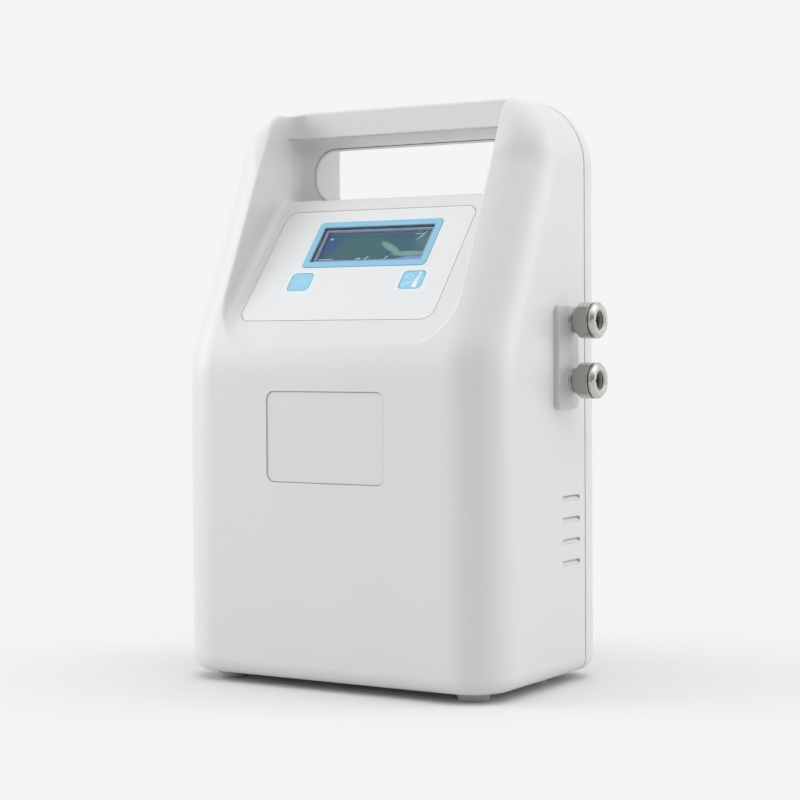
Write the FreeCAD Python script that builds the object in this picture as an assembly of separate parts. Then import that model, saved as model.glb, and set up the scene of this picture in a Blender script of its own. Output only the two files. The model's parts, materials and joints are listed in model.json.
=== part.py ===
import FreeCAD
import Part
import math
import os

os.makedirs("parts", exist_ok=True)

Vector = FreeCAD.Vector
x_axis, y_axis, z_axis = Vector(1, 0, 0), Vector(0, 1, 0), Vector(0, 0, 1)

# ---------------------------------------------------------------- case
# Modelling frame: X across the case from its middle, Y back from the front
# face, Z up from the surface that the feet stand on. All lengths in mm.
case_width = 170.0
case_depth = 109.0
case_height = 264.0
foot_height = 4.0
wall = 2.6
cover_depth = 20.5         # from the back to the plane between front shell and rear cover
seam_gap = 0.8             # shadow gap that shows as the parting line
shoulder_z = 151.0         # height where the front face starts to lean back
lean_angle = 24.7          # degrees from vertical, above the shoulder
shoulder_radius = 45.0
front_edge_radius = 22.0
top_front_radius = 8.0
top_corner_radius = 31.0
back_edge_radius = 17.0
bottom_edge_radius = 7.0
lip_thickness = 1.2        # tongue of the rear cover inside the front shell
lip_length = 4.0
lip_clearance = 0.15
seat_clearance = 0.3       # gap between pieces that must not touch
cut_past = 1.0             # how far a cutter runs on past the face that it opens
far_past = 20.0            # the same for a cutter that leaves the case

# ---------------------------------------------------------------- panel recess and handle
panel_angle = 50.456       # degrees from horizontal
panel_foot_y = 11.57       # a point on the panel plane, where the overlay starts
panel_foot_z = 166.77
recess_half_width = 62.8
recess_corner_radius = 25.0
recess_bottom_z = 153.5
recess_back = 33.0         # from the back of the case to the wall behind the recess
recess_floor_fillet = 4.5
recess_wall_fillet = 6.5
crest_z = 224.8            # top of the panel's slope, where a ledge starts under the handle
crest_radius = 5.0
ledge_fall = 2.2           # how far the ledge falls from the crest to the wall
bar_step = 6.0             # from the wall forward to the handle bar's upright face
bar_underside_z = 255.5
bar_end_fillet = 7.7       # hollow corner between the bar and the side pillars
ridge_radius = 1.2         # rounding of the rim round the whole recess
opening_half_width = 54.0  # clear opening inside the handle tube, at its front end
opening_bottom_z = 225.0
opening_height = 24.0
opening_radius = 11.2
opening_rise = 4.0         # of the opening's top from its front end to its rear end
opening_rear_radius = 4.0
crown_drop = 11.0          # the front shell's handle end is a block from this far below the opening
tube_wall = 1.1            # handle tube of the rear cover
tube_gap = 0.3
tube_lip = 0.8             # bevel round the tube's front end
rear_recess_depth = 13.0
rear_recess_bottom_z = 204.0
rear_recess_rise = 1.5     # of its ceiling over the opening's rear end
rear_recess_half_width = 67.0
rear_recess_corner_radius = 7.0
rear_recess_wall_fillet = 3.0

# ---------------------------------------------------------------- control panel
overlay_left = -55.5
overlay_right = 49.0
overlay_length = 67.6
overlay_thickness = 1.0
overlay_radius = 6.0
overlay_gap = 0.3
bezel_width = 67.2
bezel_length = 28.0
bezel_start = 32.0         # distance up the slope from the overlay's lower edge
bezel_radius = 2.2
bezel_proud = 0.3
window_width = 60.5
window_length = 21.5
window_radius = 0.6
window_ledge = 1.0
lens_thickness = 0.7
trim_gap = 0.15
key_width = 11.6
key_length = 10.2
key_radius = 2.2
key_offset = 30.3
key_middle = 23.3          # distance up the slope
key_travel = 0.6
key_gap = 0.25
key_flange = 1.2
key_flange_thickness = 0.8
key_flange_gap = 0.2
switch_size = 6.0
switch_height = 3.5
switch_plunger_radius = 1.7
switch_plunger_depth = 1.5
running_gap = 0.06
stop_gap = 0.1
display_board_width = 96.0
display_board_length = 58.0
display_board_start = 8.0
board_thickness = 1.6
display_post_radius = 3.0
display_post_inset = 4.0
module_width = 72.0
module_length = 32.0
module_rim = 4.0

# ---------------------------------------------------------------- badge plate
badge_width = 63.0
badge_bottom_z = 93.8
badge_top_z = 135.0
badge_radius = 4.0
badge_pocket = 1.0
badge_thickness = 0.6
badge_gap = 0.3

# ---------------------------------------------------------------- vents
vent_back = 43.2           # from the back of the case to the front end of the slots
vent_length = 17.4
vent_height = 2.2
vent_first_z = 56.1
vent_pitch = 9.8
vent_count = 4

# ---------------------------------------------------------------- air ports
plate_lead = 12.0          # from the plate's front edge to the couplings' line
plate_width = 19.5
plate_bottom_z = 126.0
plate_top_z = 173.0
plate_thickness = 2.8
plate_radius = 3.0
plate_edge = 0.9
port_back = 39.0           # from the back of the case to the couplings' line
port_upper_z = 166.0
port_lower_z = 139.0
port_thread_radius = 5.0
port_hole_clearance = 0.2
seal_thickness = 1.0
seal_radius = 5.8
port_shoulder_radius = 5.8
port_shoulder_length = 1.4
port_body_radius = 8.1
port_body_length = 9.1     # from the start of the cone to the groove
port_flat = 5.25           # from axis to each spanner flat
port_rim = 0.25
collar_travel = 0.6
collar_gap = 0.8           # groove between body and release collar
collar_length = 2.4
collar_bevel = 1.3
collar_lip = 1.1
collar_mouth_radius = 4.95
collar_bore_radius = 4.35
collar_slit = 0.6
port_spigot_radius = 6.0
port_bore_radius = 4.2
port_bore_depth = 20.0
port_air_radius = 1.5      # air passage through couplings, nipples and manifold
cross_bore_radius = 1.2    # short passages that join two of these
port_nut_flats = 14.0
port_nut_thickness = 4.0
port_barb_radius = 2.6
port_barb_length = 14.0
barb_lead = 0.4            # how much thinner a barb's tip is
barb_setback = 2.0         # plain neck between barb and nut
hose_radius = 4.0
hose_grip = 9.0            # length of hose on a barb or nipple

# ---------------------------------------------------------------- feet
foot_radius = 7.5
foot_taper = 0.6
foot_x = 65.0
foot_front_y = 19.0
foot_back = 37.0           # from the back of the case to the rear feet
foot_screw_radius = 1.5
foot_head_radius = 3.0
foot_head_height = 1.8
foot_screw_gap = 1.0       # from the screw's tip to the top of its boss
foot_floor = 1.5
foot_boss_height = 8.0

# ---------------------------------------------------------------- case screws
boss_x = 73.0
boss_heights = (30.0, 112.0, 222.0)
boss_radius = 4.5
boss_length = 26.0
boss_rib = 2.0
case_screw_radius = 1.5
case_head_radius = 3.0
case_head_height = 2.2
case_screw_bite = 10.0
pilot_clearance = 0.02
head_clearance = 0.4

# ---------------------------------------------------------------- chassis
chassis_thickness = 1.2
chassis_half_width = 66.0
chassis_front_y = 15.0
chassis_back = 25.0        # from the back of the case to the upright's front face
chassis_z = 19.0
chassis_top_z = 182.0
chassis_bend = 2.0
chassis_boss_x = 58.0
chassis_boss_front_y = 21.0
chassis_boss_inset = 8.0   # of the rear bosses from the upright
chassis_boss_radius = 3.5
small_screw_radius = 1.4
small_head_radius = 2.6
small_head_height = 1.6
cross_reach = 0.6          # half length of the crossed slots, as a share of the head's radius
cross_width = 0.22
cross_depth = 0.35
small_screw_bite = 6.0
screw_tip_gap = 1.0        # from a small screw's tip to the end of its hole

# ---------------------------------------------------------------- air pump
pump_back = 35.5           # from the upright to the pump's middle
pump_axis_z = 56.0
pump_half_length = 42.0    # inside of the frame's end plates
pump_end_plate = 3.0
pump_base_thickness = 3.0
pump_base_width = 48.0
grommet_height = 6.0
grommet_radius = 5.0
grommet_waist = 3.6
grommet_inset_x = 8.0
grommet_inset_y = 7.0
head_radius = 23.0
head_length = 17.0
head_cavity_radius = 18.5
head_dead_space = 4.5      # beyond the disc's furthest reach
head_nipple_x = 11.0
head_edge = 2.0
diaphragm_thickness = 1.5
diaphragm_roll = 1.2       # radius of the half-round roll in the rubber
armature_radius = 3.0
armature_stroke = 1.5      # either way from the middle
armature_block_length = 30.0
armature_block_width = 8.0
armature_block_height = 30.0
magnet_length = 9.0
magnet_height = 22.0
magnet_margin = 1.0        # from a magnet to the carrier's end
disc_radius = 9.0          # centre disc that carries a diaphragm
disc_thickness = 1.5
core_length = 34.0
core_depth = 15.0
core_half_height = 19.0
core_leg = 5.0             # outer leg and back of the E, half of its middle leg
air_gap = 0.8
coil_wall = 5.0
coil_gap = 0.3
nipple_radius = 2.6
nipple_length = 9.0
hose_bore_gap = 0.05
hose_bend = 9.0            # radius of the hoses' bends, on their middle line
hose_left_z = 108.0        # heights where the hoses from the pump heads cross
hose_right_z = 97.0

# ---------------------------------------------------------------- valves and manifold
manifold_x = 28.0
manifold_width = 24.0
manifold_depth = 26.0
manifold_bottom_z = 126.0
manifold_top_z = 178.0
valve_length = 26.0
valve_size = 19.0
valve_cap = 3.0
valve_cap_step = 2.0       # how much the cap stands in from the housing
plunger_radius = 3.0
plunger_length = 15.0
plunger_travel = 1.2
nipple_spread = 6.0        # of the two inlets, either way from the ports' line
manifold_screw_inset = 6.0

# ---------------------------------------------------------------- boards
main_board_width = 112.0
main_board_bottom_z = 90.0
main_board_top_z = 148.0
standoff_height = 6.0
standoff_radius = 3.0
standoff_inset = 4.5
supply_board_left = -62.0
supply_board_right = 58.0
supply_board_bottom_z = 96.0
supply_board_top_z = 156.0
chip_size = 14.0
chip_height = 1.6
chip_offset = 20.0         # spacing of the parts across the main board
sensor_size = 8.0
sensor_height = 5.0
buzzer_radius = 6.0
buzzer_height = 7.0
board_margin = 1.0         # between a part and the board's edge
connector_width = 22.0
connector_depth = 6.0
transformer_width = 26.0
transformer_height = 24.0
supply_part_depth = 12.0
capacitor_radius = 5.0
capacitor_pitch = 12.0
capacitor_count = 3

# ---------------------------------------------------------------- power inlet
inlet_x = -38.0
inlet_z = 56.0
inlet_body_width = 27.5
inlet_body_height = 48.0
inlet_depth = 25.0
inlet_flange = 2.2         # flange thickness
inlet_flange_width = 50.0
inlet_flange_height = 52.0
inlet_flange_radius = 3.0
inlet_screw_spacing = 40.0
inlet_screw_past = 2.0     # the screws' tips stand this far inside the cover's wall
inlet_pocket_depth = 4.4
inlet_pocket_gap = 1.0
inlet_fit = 0.2
inlet_window_gap = 1.0
socket_width = 24.4
socket_height = 16.8
socket_depth = 16.5
socket_chamfer = 4.0
socket_middle = -12.5      # from the middle of the module
pin_width = 4.0
pin_thickness = 2.0
pin_length = 14.0
pin_spread = 7.0
pin_drop = 3.8
pin_tab = 4.0
drawer_width = 21.0
drawer_height = 7.6
drawer_depth = 19.0
drawer_middle = 3.2
drawer_gap = 0.15
drawer_face = 1.4
drawer_notch = 8.0
fuse_radius = 2.6
fuse_length = 15.0
fuse_gap = 0.1
rocker_width = 21.0
rocker_height = 12.6
rocker_middle = 16.0
rocker_gap = 0.35
rocker_throw = 14.0        # degrees from off to on
rocker_axis_depth = 3.5    # of the pivot below the flange's face
rocker_crest = 3.0         # from the pivot to the bottom of the V
rocker_pin_radius = 1.2
rocker_pin_length = 1.5

# ---------------------------------------------------------------- derived places
floor_z = foot_height
top_z = foot_height + case_height
half_width = case_width / 2
seam_y = case_depth - cover_depth
recess_back_y = case_depth - recess_back
bar_front_y = recess_back_y - bar_step
rear_recess_y = case_depth - rear_recess_depth
opening_top_z = opening_bottom_z + opening_height
front_end_y = seam_y - seam_gap / 2
cover_start_y = seam_y + seam_gap / 2
vent_start_y = case_depth - vent_back
port_y = case_depth - port_back
plate_start_y = port_y - plate_lead
foot_rear_y = case_depth - foot_back
chassis_back_y = case_depth - chassis_back
chassis_boss_rear_y = chassis_back_y - chassis_boss_inset
pump_y = chassis_back_y - pump_back
port_heights = (port_upper_z, port_lower_z)
crown_start_z = opening_bottom_z - crown_drop
screw_hole = small_screw_radius + head_clearance / 2
bezel_middle = bezel_start + bezel_length / 2
key_foot = -wall - key_flange_gap - key_flange_thickness   # down from the panel, as the next two
switch_top = key_foot - key_travel - stop_gap
display_board_top = switch_top - switch_height
port_reach = (plate_thickness + seal_thickness + port_shoulder_length
              + port_body_length + collar_gap + collar_length)
to_origin = Vector(-port_reach / 2, -case_depth / 2, 0)
panel_place = FreeCAD.Placement(
    Vector(0, panel_foot_y, panel_foot_z), FreeCAD.Rotation(x_axis, panel_angle))


# ---------------------------------------------------------------- small helpers
def box(low, high):
    """Block between two corners."""
    size = Vector(*high) - Vector(*low)
    return Part.makeBox(size.x, size.y, size.z, Vector(*low))


def rod(start, axis, radius, length):
    """Cylinder from a point along an axis."""
    return Part.makeCylinder(radius, length, start, axis)


def ring(start, axis, radius, bore, length):
    """Tube from a point along an axis."""
    return rod(start, axis, radius, length).cut(rod(start, axis, bore, length))


def line(a, b):
    return Part.LineSegment(Vector(*a), Vector(*b)).toShape()


def arc(a, b, c):
    return Part.Arc(Vector(*a), Vector(*b), Vector(*c)).toShape()


def extruded(edges, direction):
    return Part.Face(Part.Wire(edges)).extrude(direction)


def polygon_prism(points, direction):
    """Prism on a closed polygon of corner points."""
    return Part.Face(Part.makePolygon(points + [points[0]])).extrude(direction)


def plate(left, right, low, high, bottom, thickness, radius):
    """Flat plate in local XY with rounded corners, from bottom upwards."""
    solid = box((left, low, bottom), (right, high, bottom + thickness))
    upright = [e for e in solid.Edges if e.BoundBox.ZLength > thickness / 2]
    return solid.makeFillet(radius, upright)


def chosen(shape, test):
    """Edges whose bounding box passes a test."""
    return [e for e in shape.Edges if test(e.BoundBox)]


def together(shapes):
    return Part.makeCompound(shapes)


def joined(first, others):
    return first.fuse(others).removeSplitter()


def save(name, shape):
    """Write one piece, moved from the modelling frame to the part's frame."""
    placed = shape.copy()
    placed.translate(to_origin)
    placed.exportStep("parts/" + name + ".step")


def span(a, b):
    """Low and high end of a range given in either order."""
    return min(a, b), max(a, b)


def turned(profile, start):
    """Solid of revolution about X from (x, radius) corner points."""
    points = [Vector(start.x + x, start.y, start.z + r) for x, r in profile]
    face = Part.Face(Part.makePolygon(points + [points[0]]))
    return face.revolve(start, x_axis, 360)


# ---------------------------------------------------------------- case form
def envelope(inset):
    """The whole case as one solid, its surface moved inwards by inset."""
    lean = math.radians(lean_angle)
    low, high, back = floor_z + inset, top_z - inset, case_depth - inset
    half = half_width - inset
    bend_z = (shoulder_z - inset * math.sin(lean)
              + (inset - inset * math.cos(lean)) / math.tan(lean))
    top_y = inset + (high - bend_z) * math.tan(lean)
    radius = shoulder_radius - inset
    tangent = radius * math.tan(lean / 2)
    bend_start = (-half, inset, bend_z - tangent)
    bend_end = (-half, inset + tangent * math.sin(lean), bend_z + tangent * math.cos(lean))
    bend_middle = (-half, inset + radius * (1 - math.cos(lean / 2)),
                   bend_z - tangent + radius * math.sin(lean / 2))
    outline = [
        line((-half, inset, low), bend_start),
        arc(bend_start, bend_middle, bend_end),
        line(bend_end, (-half, top_y, high)),
        line((-half, top_y, high), (-half, back, high)),
        line((-half, back, high), (-half, back, low)),
        line((-half, back, low), (-half, inset, low))]
    solid = extruded(outline, Vector(2 * half, 0, 0))
    top_sides = chosen(solid, lambda b: b.ZMin > high - 0.01 and b.XLength < 0.01)
    solid = solid.makeFillet(top_corner_radius - inset, top_sides)
    solid = front_rounded(solid, inset, low, high, back)
    rear = chosen(solid, lambda b: b.YMin > back - 0.01 and b.ZMax > low + 1)
    solid = solid.makeFillet(back_edge_radius - inset, rear)
    base = chosen(solid, lambda b: b.ZMax < low + 0.01)
    return solid.makeFillet(bottom_edge_radius - inset, base)


def front_rounded(solid, inset, low, high, back):
    """Round the front outline: wide at the sides, running out to a smaller radius along the top."""
    side, top = front_edge_radius - inset, top_front_radius - inset
    document = FreeCAD.newDocument()
    base = document.addObject("Part::Feature")
    base.Shape = solid
    rounding = document.addObject("Part::Fillet")
    rounding.Base = base
    radii = []
    for number, edge in enumerate(solid.Edges, 1):
        limits = edge.BoundBox
        if limits.YMax > back - 1 or limits.ZMax < low + 1:
            continue
        climbs = edge.valueAt(edge.FirstParameter).z < edge.valueAt(edge.LastParameter).z
        if limits.ZMin > high - 0.01:
            radii.append((number, top, top))
        elif limits.XLength > 1:
            upwards = climbs == (edge.Orientation == "Reversed")
            radii.append((number, side, top) if upwards else (number, top, side))
        else:
            radii.append((number, side, side))
    rounding.Edges = radii
    document.recompute()
    rounded = rounding.Shape.copy()
    FreeCAD.closeDocument(document.Name)
    return rounded


def panel_height(y):
    """Height of the panel plane above a given depth."""
    return panel_foot_z + (y - panel_foot_y) * math.tan(math.radians(panel_angle))


def recess_outline(half, low, radius, start_y, end_y):
    """Prism seen from the front as a rectangle with rounded lower corners, running along Y."""
    solid = box((-half, start_y, low), (half, end_y, top_z + far_past))
    corners = chosen(solid, lambda b: b.ZMax < low + 0.01 and b.YLength > 1 and b.XLength < 0.01)
    return solid.makeFillet(radius, corners)


def front_recess(grow):
    """The hollow that holds the sloping panel and frees the handle bar."""
    front, back = -far_past, recess_back_y + grow
    climb = math.tan(math.radians(panel_angle))
    crest_y = panel_foot_y + (crest_z - panel_foot_z) / climb
    fall = -ledge_fall / (recess_back_y - crest_y)
    drop, ledge_drop = grow * math.hypot(1, climb), grow * math.hypot(1, fall)
    shift = (drop - ledge_drop) / (climb - fall)      # of the crest, where the lowered lines meet
    underside, half = bar_underside_z + grow, recess_half_width + grow
    low = crest_z + climb * shift - drop
    side = [(front, panel_height(front) - drop), (crest_y + shift, low),
            (back, crest_z + fall * (back - crest_y) - ledge_drop), (back, underside), (front, underside)]
    prism = polygon_prism([Vector(-case_width, y, z) for y, z in side], Vector(2 * case_width, 0, 0))
    crest = chosen(prism, lambda b: b.XLength > 60 and abs(b.YMin - crest_y - shift) < 0.1
                   and abs(b.ZMin - low) < 0.1)
    prism = prism.makeFillet(crest_radius - grow, crest)
    hollow = recess_outline(half, recess_bottom_z - grow, recess_corner_radius + grow, front, back)
    hollow = hollow.common(prism)
    uprights = chosen(hollow, lambda b: b.YMin > back - 0.1 and b.ZLength > 20 and b.XLength < 0.01)
    hollow = hollow.makeFillet(recess_wall_fillet + grow, uprights)
    foot = chosen(hollow, lambda b: b.XLength < recess_wall_fillet + grow + 1
                  and b.ZMax < low + 0.01 and b.YMax > 10 and b.ZMin > recess_bottom_z)
    foot += chosen(hollow, lambda b: b.YMin > back - 0.1 and b.XLength > 60 and b.ZMax < low + 0.01)
    hollow = hollow.makeFillet(recess_floor_fillet + grow, foot)
    above = box((-half, front, underside), (half, bar_front_y + grow, top_z + far_past))
    ends = chosen(above, lambda b: b.YMin > bar_front_y - 0.1 and b.ZLength > 1)
    return joined(hollow, [above.makeFillet(bar_end_fillet + grow, ends)])


def rear_recess(grow):
    """The finger hollow behind the handle opening."""
    front, behind = rear_recess_y - grow, case_depth + far_past
    slope_top = opening_bottom_z - tube_wall
    rise = (slope_top - rear_recess_bottom_z) / rear_recess_depth
    drop = grow * math.sqrt(1 + rise * rise)
    ceiling = opening_top_z + opening_rise + rear_recess_rise + grow
    side = [(front, slope_top + rise * grow - drop),
            (behind, slope_top - rise * (behind - front - grow) - drop),
            (behind, ceiling), (front, ceiling)]
    prism = polygon_prism([Vector(-case_width, y, z) for y, z in side], Vector(2 * case_width, 0, 0))
    hollow = recess_outline(rear_recess_half_width + grow, rear_recess_bottom_z - grow,
                            rear_recess_corner_radius + grow, front, behind).common(prism)
    uprights = chosen(hollow, lambda b: b.YMax < front + 0.1 and b.ZLength > 20 and b.XLength < 0.01)
    return hollow.makeFillet(rear_recess_wall_fillet + grow, uprights)


def opening_outline(y, grow):
    """Rounded outline of the handle opening at a given depth, grown outwards by grow."""
    share = (y - recess_back_y) / (rear_recess_y - recess_back_y)
    radius = opening_radius + (opening_rear_radius - opening_radius) * share + grow
    half, low = opening_half_width + grow, opening_bottom_z - grow
    high = opening_top_z + opening_rise * share + grow
    bend = radius * (1 - math.sqrt(0.5))
    edges = []
    for a, b, along, across in (          # corner, and the directions along the side before and after it
            (half, low, (1, 0), (0, 1)), (half, high, (0, 1), (-1, 0)),
            (-half, high, (-1, 0), (0, -1)), (-half, low, (0, -1), (1, 0))):
        start = (a - along[0] * radius, y, b - along[1] * radius)
        end = (a + across[0] * radius, y, b + across[1] * radius)
        middle = (a + (across[0] - along[0]) * bend, y, b + (across[1] - along[1]) * bend)
        if edges:
            edges.append(line(edges[-1].lastVertex().Point, start))
        edges.append(arc(start, middle, end))
    edges.append(line(edges[-1].lastVertex().Point, edges[0].firstVertex().Point))
    return Part.Wire(edges)


def opening_form(start_y, end_y, grow):
    """Solid of the handle opening between two depths: its outline widens towards the back."""
    return Part.makeLoft([opening_outline(start_y, grow), opening_outline(end_y, grow)], True, True)


def inlet_pocket(grow):
    """Shallow pocket in the back that the power inlet sits in."""
    half_w = inlet_flange_width / 2 + inlet_pocket_gap + grow
    half_h = inlet_flange_height / 2 + inlet_pocket_gap + grow
    face = case_depth - inlet_pocket_depth - grow
    solid = box((inlet_x - half_w, face, inlet_z - half_h),
                (inlet_x + half_w, case_depth + far_past, inlet_z + half_h))
    corners = chosen(solid, lambda b: b.YLength > 1 and b.XLength < 0.01 and b.ZLength < 0.01)
    return solid.makeFillet(inlet_flange_radius + inlet_pocket_gap + grow, corners)


outer_form = envelope(0)
inner_form = envelope(wall)


def lies_on(edge, surface):
    start, length = edge.FirstParameter, edge.LastParameter - edge.FirstParameter
    points = [edge.valueAt(start + share * length) for share in (0.2, 0.5, 0.8)]
    return all(surface.distToShape(Part.Vertex(point))[0] < 0.01 for point in points)


def recessed_form():
    """The outer form with the front recess and the rounded rim round it."""
    hollow = front_recess(0)
    form = outer_form.cut(hollow)
    outside, inside = together(outer_form.Faces), together(hollow.Faces)
    rim = [edge for edge in form.Edges if lies_on(edge, outside) and lies_on(edge, inside)]
    return form.makeFillet(ridge_radius, rim)


inside = inner_form.cut([front_recess(wall), rear_recess(wall), inlet_pocket(wall)])
skin = recessed_form().cut([inside, rear_recess(0), inlet_pocket(0)])
print("case form done")


# ---------------------------------------------------------------- front shell
def boss_rows():
    return [(side * boss_x, z) for side in (-1, 1) for z in boss_heights]


def on_key(side, grow, bottom, thickness, radius):
    """Plate over one key's outline, grown outwards by grow, in panel coordinates."""
    u, half_w, half_l = side * key_offset, key_width / 2 + grow, key_length / 2 + grow
    return plate(u - half_w, u + half_w, key_middle - half_l, key_middle + half_l, bottom, thickness, radius)


def key_holes():
    return [on_key(side, key_gap, -wall - cut_past, wall + 2 * cut_past, key_radius + key_gap)
            for side in (-1, 1)]


def panel_cut():
    """Everything cut through the sloping floor, in panel coordinates."""
    pocket = plate(overlay_left, overlay_right, 0, overlay_length, -overlay_thickness,
                   overlay_thickness + cut_past, overlay_radius)
    half_w, half_l = window_width / 2 - window_ledge, window_length / 2 - window_ledge
    window = box((-half_w, bezel_middle - half_l, -2 * wall), (half_w, bezel_middle + half_l, cut_past))
    tool = together([pocket, window] + key_holes())
    tool.Placement = panel_place
    return tool


def display_post_places():
    u = display_board_width / 2 - display_post_inset
    low = display_board_start + display_post_inset
    high = display_board_start + display_board_length - display_post_inset
    return [(side * u, v) for side in (-1, 1) for v in (low, high)]


def display_posts():
    posts = []
    for u, v in display_post_places():
        post = ring(Vector(u, v, display_board_top), z_axis, display_post_radius,
                    small_screw_radius + pilot_clearance, -display_board_top - wall / 2)
        post.Placement = panel_place
        posts.append(post)
    return posts


def vent_slots(side):
    slots = []
    for number in range(vent_count):
        z = vent_first_z + number * vent_pitch
        middle = side * half_width
        slot = box((middle - 2 * wall, vent_start_y, z - vent_height / 2),
                   (middle + 2 * wall, vent_start_y + vent_length, z + vent_height / 2))
        ends = chosen(slot, lambda b: b.XLength > 1 and b.YLength < 0.01)
        slots.append(slot.makeFillet(0.95 * vent_height / 2, ends))
    return slots


def floor_boss(x, y, height, radius, bore):
    """Boss on the case floor and the cutter for its screw, from below."""
    boss = rod(Vector(x, y, floor_z + wall / 2), z_axis, radius, height - wall / 2)
    return boss, rod(Vector(x, y, floor_z - cut_past), z_axis, bore, height + cut_past)


def foot_places():
    return [(side * foot_x, y) for y in (foot_front_y, foot_rear_y) for side in (-1, 1)]


def chassis_places():
    return [(side * chassis_boss_x, y) for y in (chassis_boss_front_y, chassis_boss_rear_y)
            for side in (-1, 1)]


def main_board_places():
    x = main_board_width / 2 - standoff_inset
    return [(side * x, z) for side in (-1, 1)
            for z in (main_board_bottom_z + standoff_inset, main_board_top_z - standoff_inset)]


def front_shell():
    keep = box((-case_width, -far_past, -far_past), (case_width, front_end_y, top_z + far_past))
    shell = skin.common(keep).cut(rear_recess(wall + seat_clearance))
    added, cuts = [], []
    for x, z in boss_rows():
        start = Vector(x, front_end_y - boss_length, z)
        added.append(rod(start, y_axis, boss_radius, boss_length))
        edge = math.copysign(half_width - wall / 2, x)
        added.append(box((min(x, edge), start.y, z - boss_rib / 2),
                         (max(x, edge), start.y + boss_length, z + boss_rib / 2)))
        cuts.append(rod(start + y_axis * (boss_length - case_screw_bite - 2 * cut_past), y_axis,
                        case_screw_radius + pilot_clearance, case_screw_bite + 3 * cut_past))
    for x, y in foot_places():
        boss, bore = floor_boss(x, y, foot_boss_height, chassis_boss_radius,
                                foot_screw_radius + pilot_clearance)
        added.append(boss)
        cuts.append(bore)
    for x, y in chassis_places():
        start = Vector(x, y, floor_z + wall / 2)
        added.append(rod(start, z_axis, chassis_boss_radius, chassis_z - start.z))
        cuts.append(rod(Vector(x, y, chassis_z - small_screw_bite - cut_past), z_axis,
                        small_screw_radius + pilot_clearance, small_screw_bite + 2 * cut_past))
    for x, z in main_board_places():
        start = Vector(x, wall / 2, z)
        added.append(rod(start, y_axis, standoff_radius, wall / 2 + standoff_height))
        cuts.append(rod(Vector(x, wall, z), y_axis, small_screw_radius + pilot_clearance,
                        standoff_height + cut_past))
    shell = joined(shell, added + display_posts())
    badge = box((-badge_width / 2, -cut_past, badge_bottom_z), (badge_width / 2, badge_pocket, badge_top_z))
    corners = chosen(badge, lambda b: b.YLength > cut_past)
    cuts.append(badge.makeFillet(badge_radius, corners))
    for z in port_heights:
        cuts.append(rod(Vector(half_width - 2 * wall, port_y, z), x_axis,
                        port_thread_radius + port_hole_clearance, 4 * wall))
    cuts.append(opening_form(recess_back_y - cut_past, recess_back_y + wall + cut_past, tube_wall + tube_gap))
    cuts += vent_slots(1) + vent_slots(-1)
    return shell.cut(cuts + [panel_cut()])


whole_shell = front_shell()
crown_space = box((-case_width, -far_past, crown_start_z), (case_width, case_depth, top_z + far_past))
save("front_shell", whole_shell.cut(crown_space))
save("handle_crown", whole_shell.common(crown_space))


# ---------------------------------------------------------------- rear cover
def seam_lip():
    """Tongue that stands inside the front shell all round the seam."""
    start = front_end_y - lip_length
    slab = box((-case_width, start, -far_past), (case_width, seam_y + seam_gap, top_z + far_past))
    outside = envelope(wall + lip_clearance)
    return outside.cut(envelope(wall + lip_clearance + lip_thickness)).common(slab)


def lip_relief():
    """Room that the tongue leaves for the screw bosses and their ribs."""
    start, reach = front_end_y - 2 * lip_length, boss_radius + seat_clearance
    cutters = []
    for side in (-1, 1):
        low, high = span(side * (boss_x - reach), side * case_width)
        for z in boss_heights:
            cutters.append(box((low, start, z - reach), (high, start + 2 * lip_length, z + reach)))
    return cutters


def screw_seat_y():
    """Depth of the floor of the screw counterbores in the rear cover."""
    return cover_start_y + wall


def rear_cover():
    keep = box((-case_width, cover_start_y, -far_past),
               (case_width, case_depth + far_past, top_z + far_past))
    shell = skin.common(keep.fuse(rear_recess(wall + seat_clearance)))
    added = [seam_lip().cut(lip_relief())]
    cuts = []
    for x, z in boss_rows():
        start = Vector(x, front_end_y, z)
        added.append(rod(start, y_axis, boss_radius, case_depth - start.y).common(outer_form))
        edge = math.copysign(half_width - wall / 2, x)
        rib = box((min(x, edge), cover_start_y, z - boss_rib / 2),
                  (max(x, edge), case_depth - wall, z + boss_rib / 2))
        added.append(rib.common(outer_form))
        cuts.append(rod(start - y_axis * cut_past, y_axis, case_screw_radius + head_clearance, case_depth))
        seat = Vector(x, screw_seat_y(), z)
        cuts.append(rod(seat, y_axis, case_head_radius + head_clearance, case_depth))
    added.append(opening_form(recess_back_y, rear_recess_y, tube_wall))
    cuts.append(opening_form(recess_back_y - cut_past, rear_recess_y + cut_past, 0))
    cuts.append(Part.makeLoft([opening_outline(recess_back_y - cut_past, tube_lip + cut_past),
                               opening_outline(recess_back_y + tube_lip, 0)], True, True))
    half_w, half_h = inlet_body_width / 2 + inlet_fit, inlet_body_height / 2 + inlet_fit
    cuts.append(box((inlet_x - half_w, seam_y, inlet_z - half_h),
                    (inlet_x + half_w, case_depth, inlet_z + half_h)))
    for side in (-1, 1):
        cuts.append(rod(Vector(inlet_x + side * inlet_screw_spacing / 2, seam_y, inlet_z), y_axis,
                        small_screw_radius + pilot_clearance, case_depth))
    return joined(shell, added).cut(cuts)


save("rear_cover", rear_cover())
print("shells done")


def cross_slots(face, axis, head_radius):
    """Two crossed slots that are cut into a screw's head, from its face along axis."""
    start, other = face - axis * cut_past, axis.cross(x_axis)
    cutters = []
    for along, across in ((x_axis, other), (other, x_axis)):
        a, b = along * (head_radius * cross_reach), across * (head_radius * cross_width / 2)
        cutters.append(polygon_prism([start + a + b, start - a + b, start - a - b, start + a - b],
                                     axis * (cut_past + head_radius * cross_depth)))
    return cutters


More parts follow.
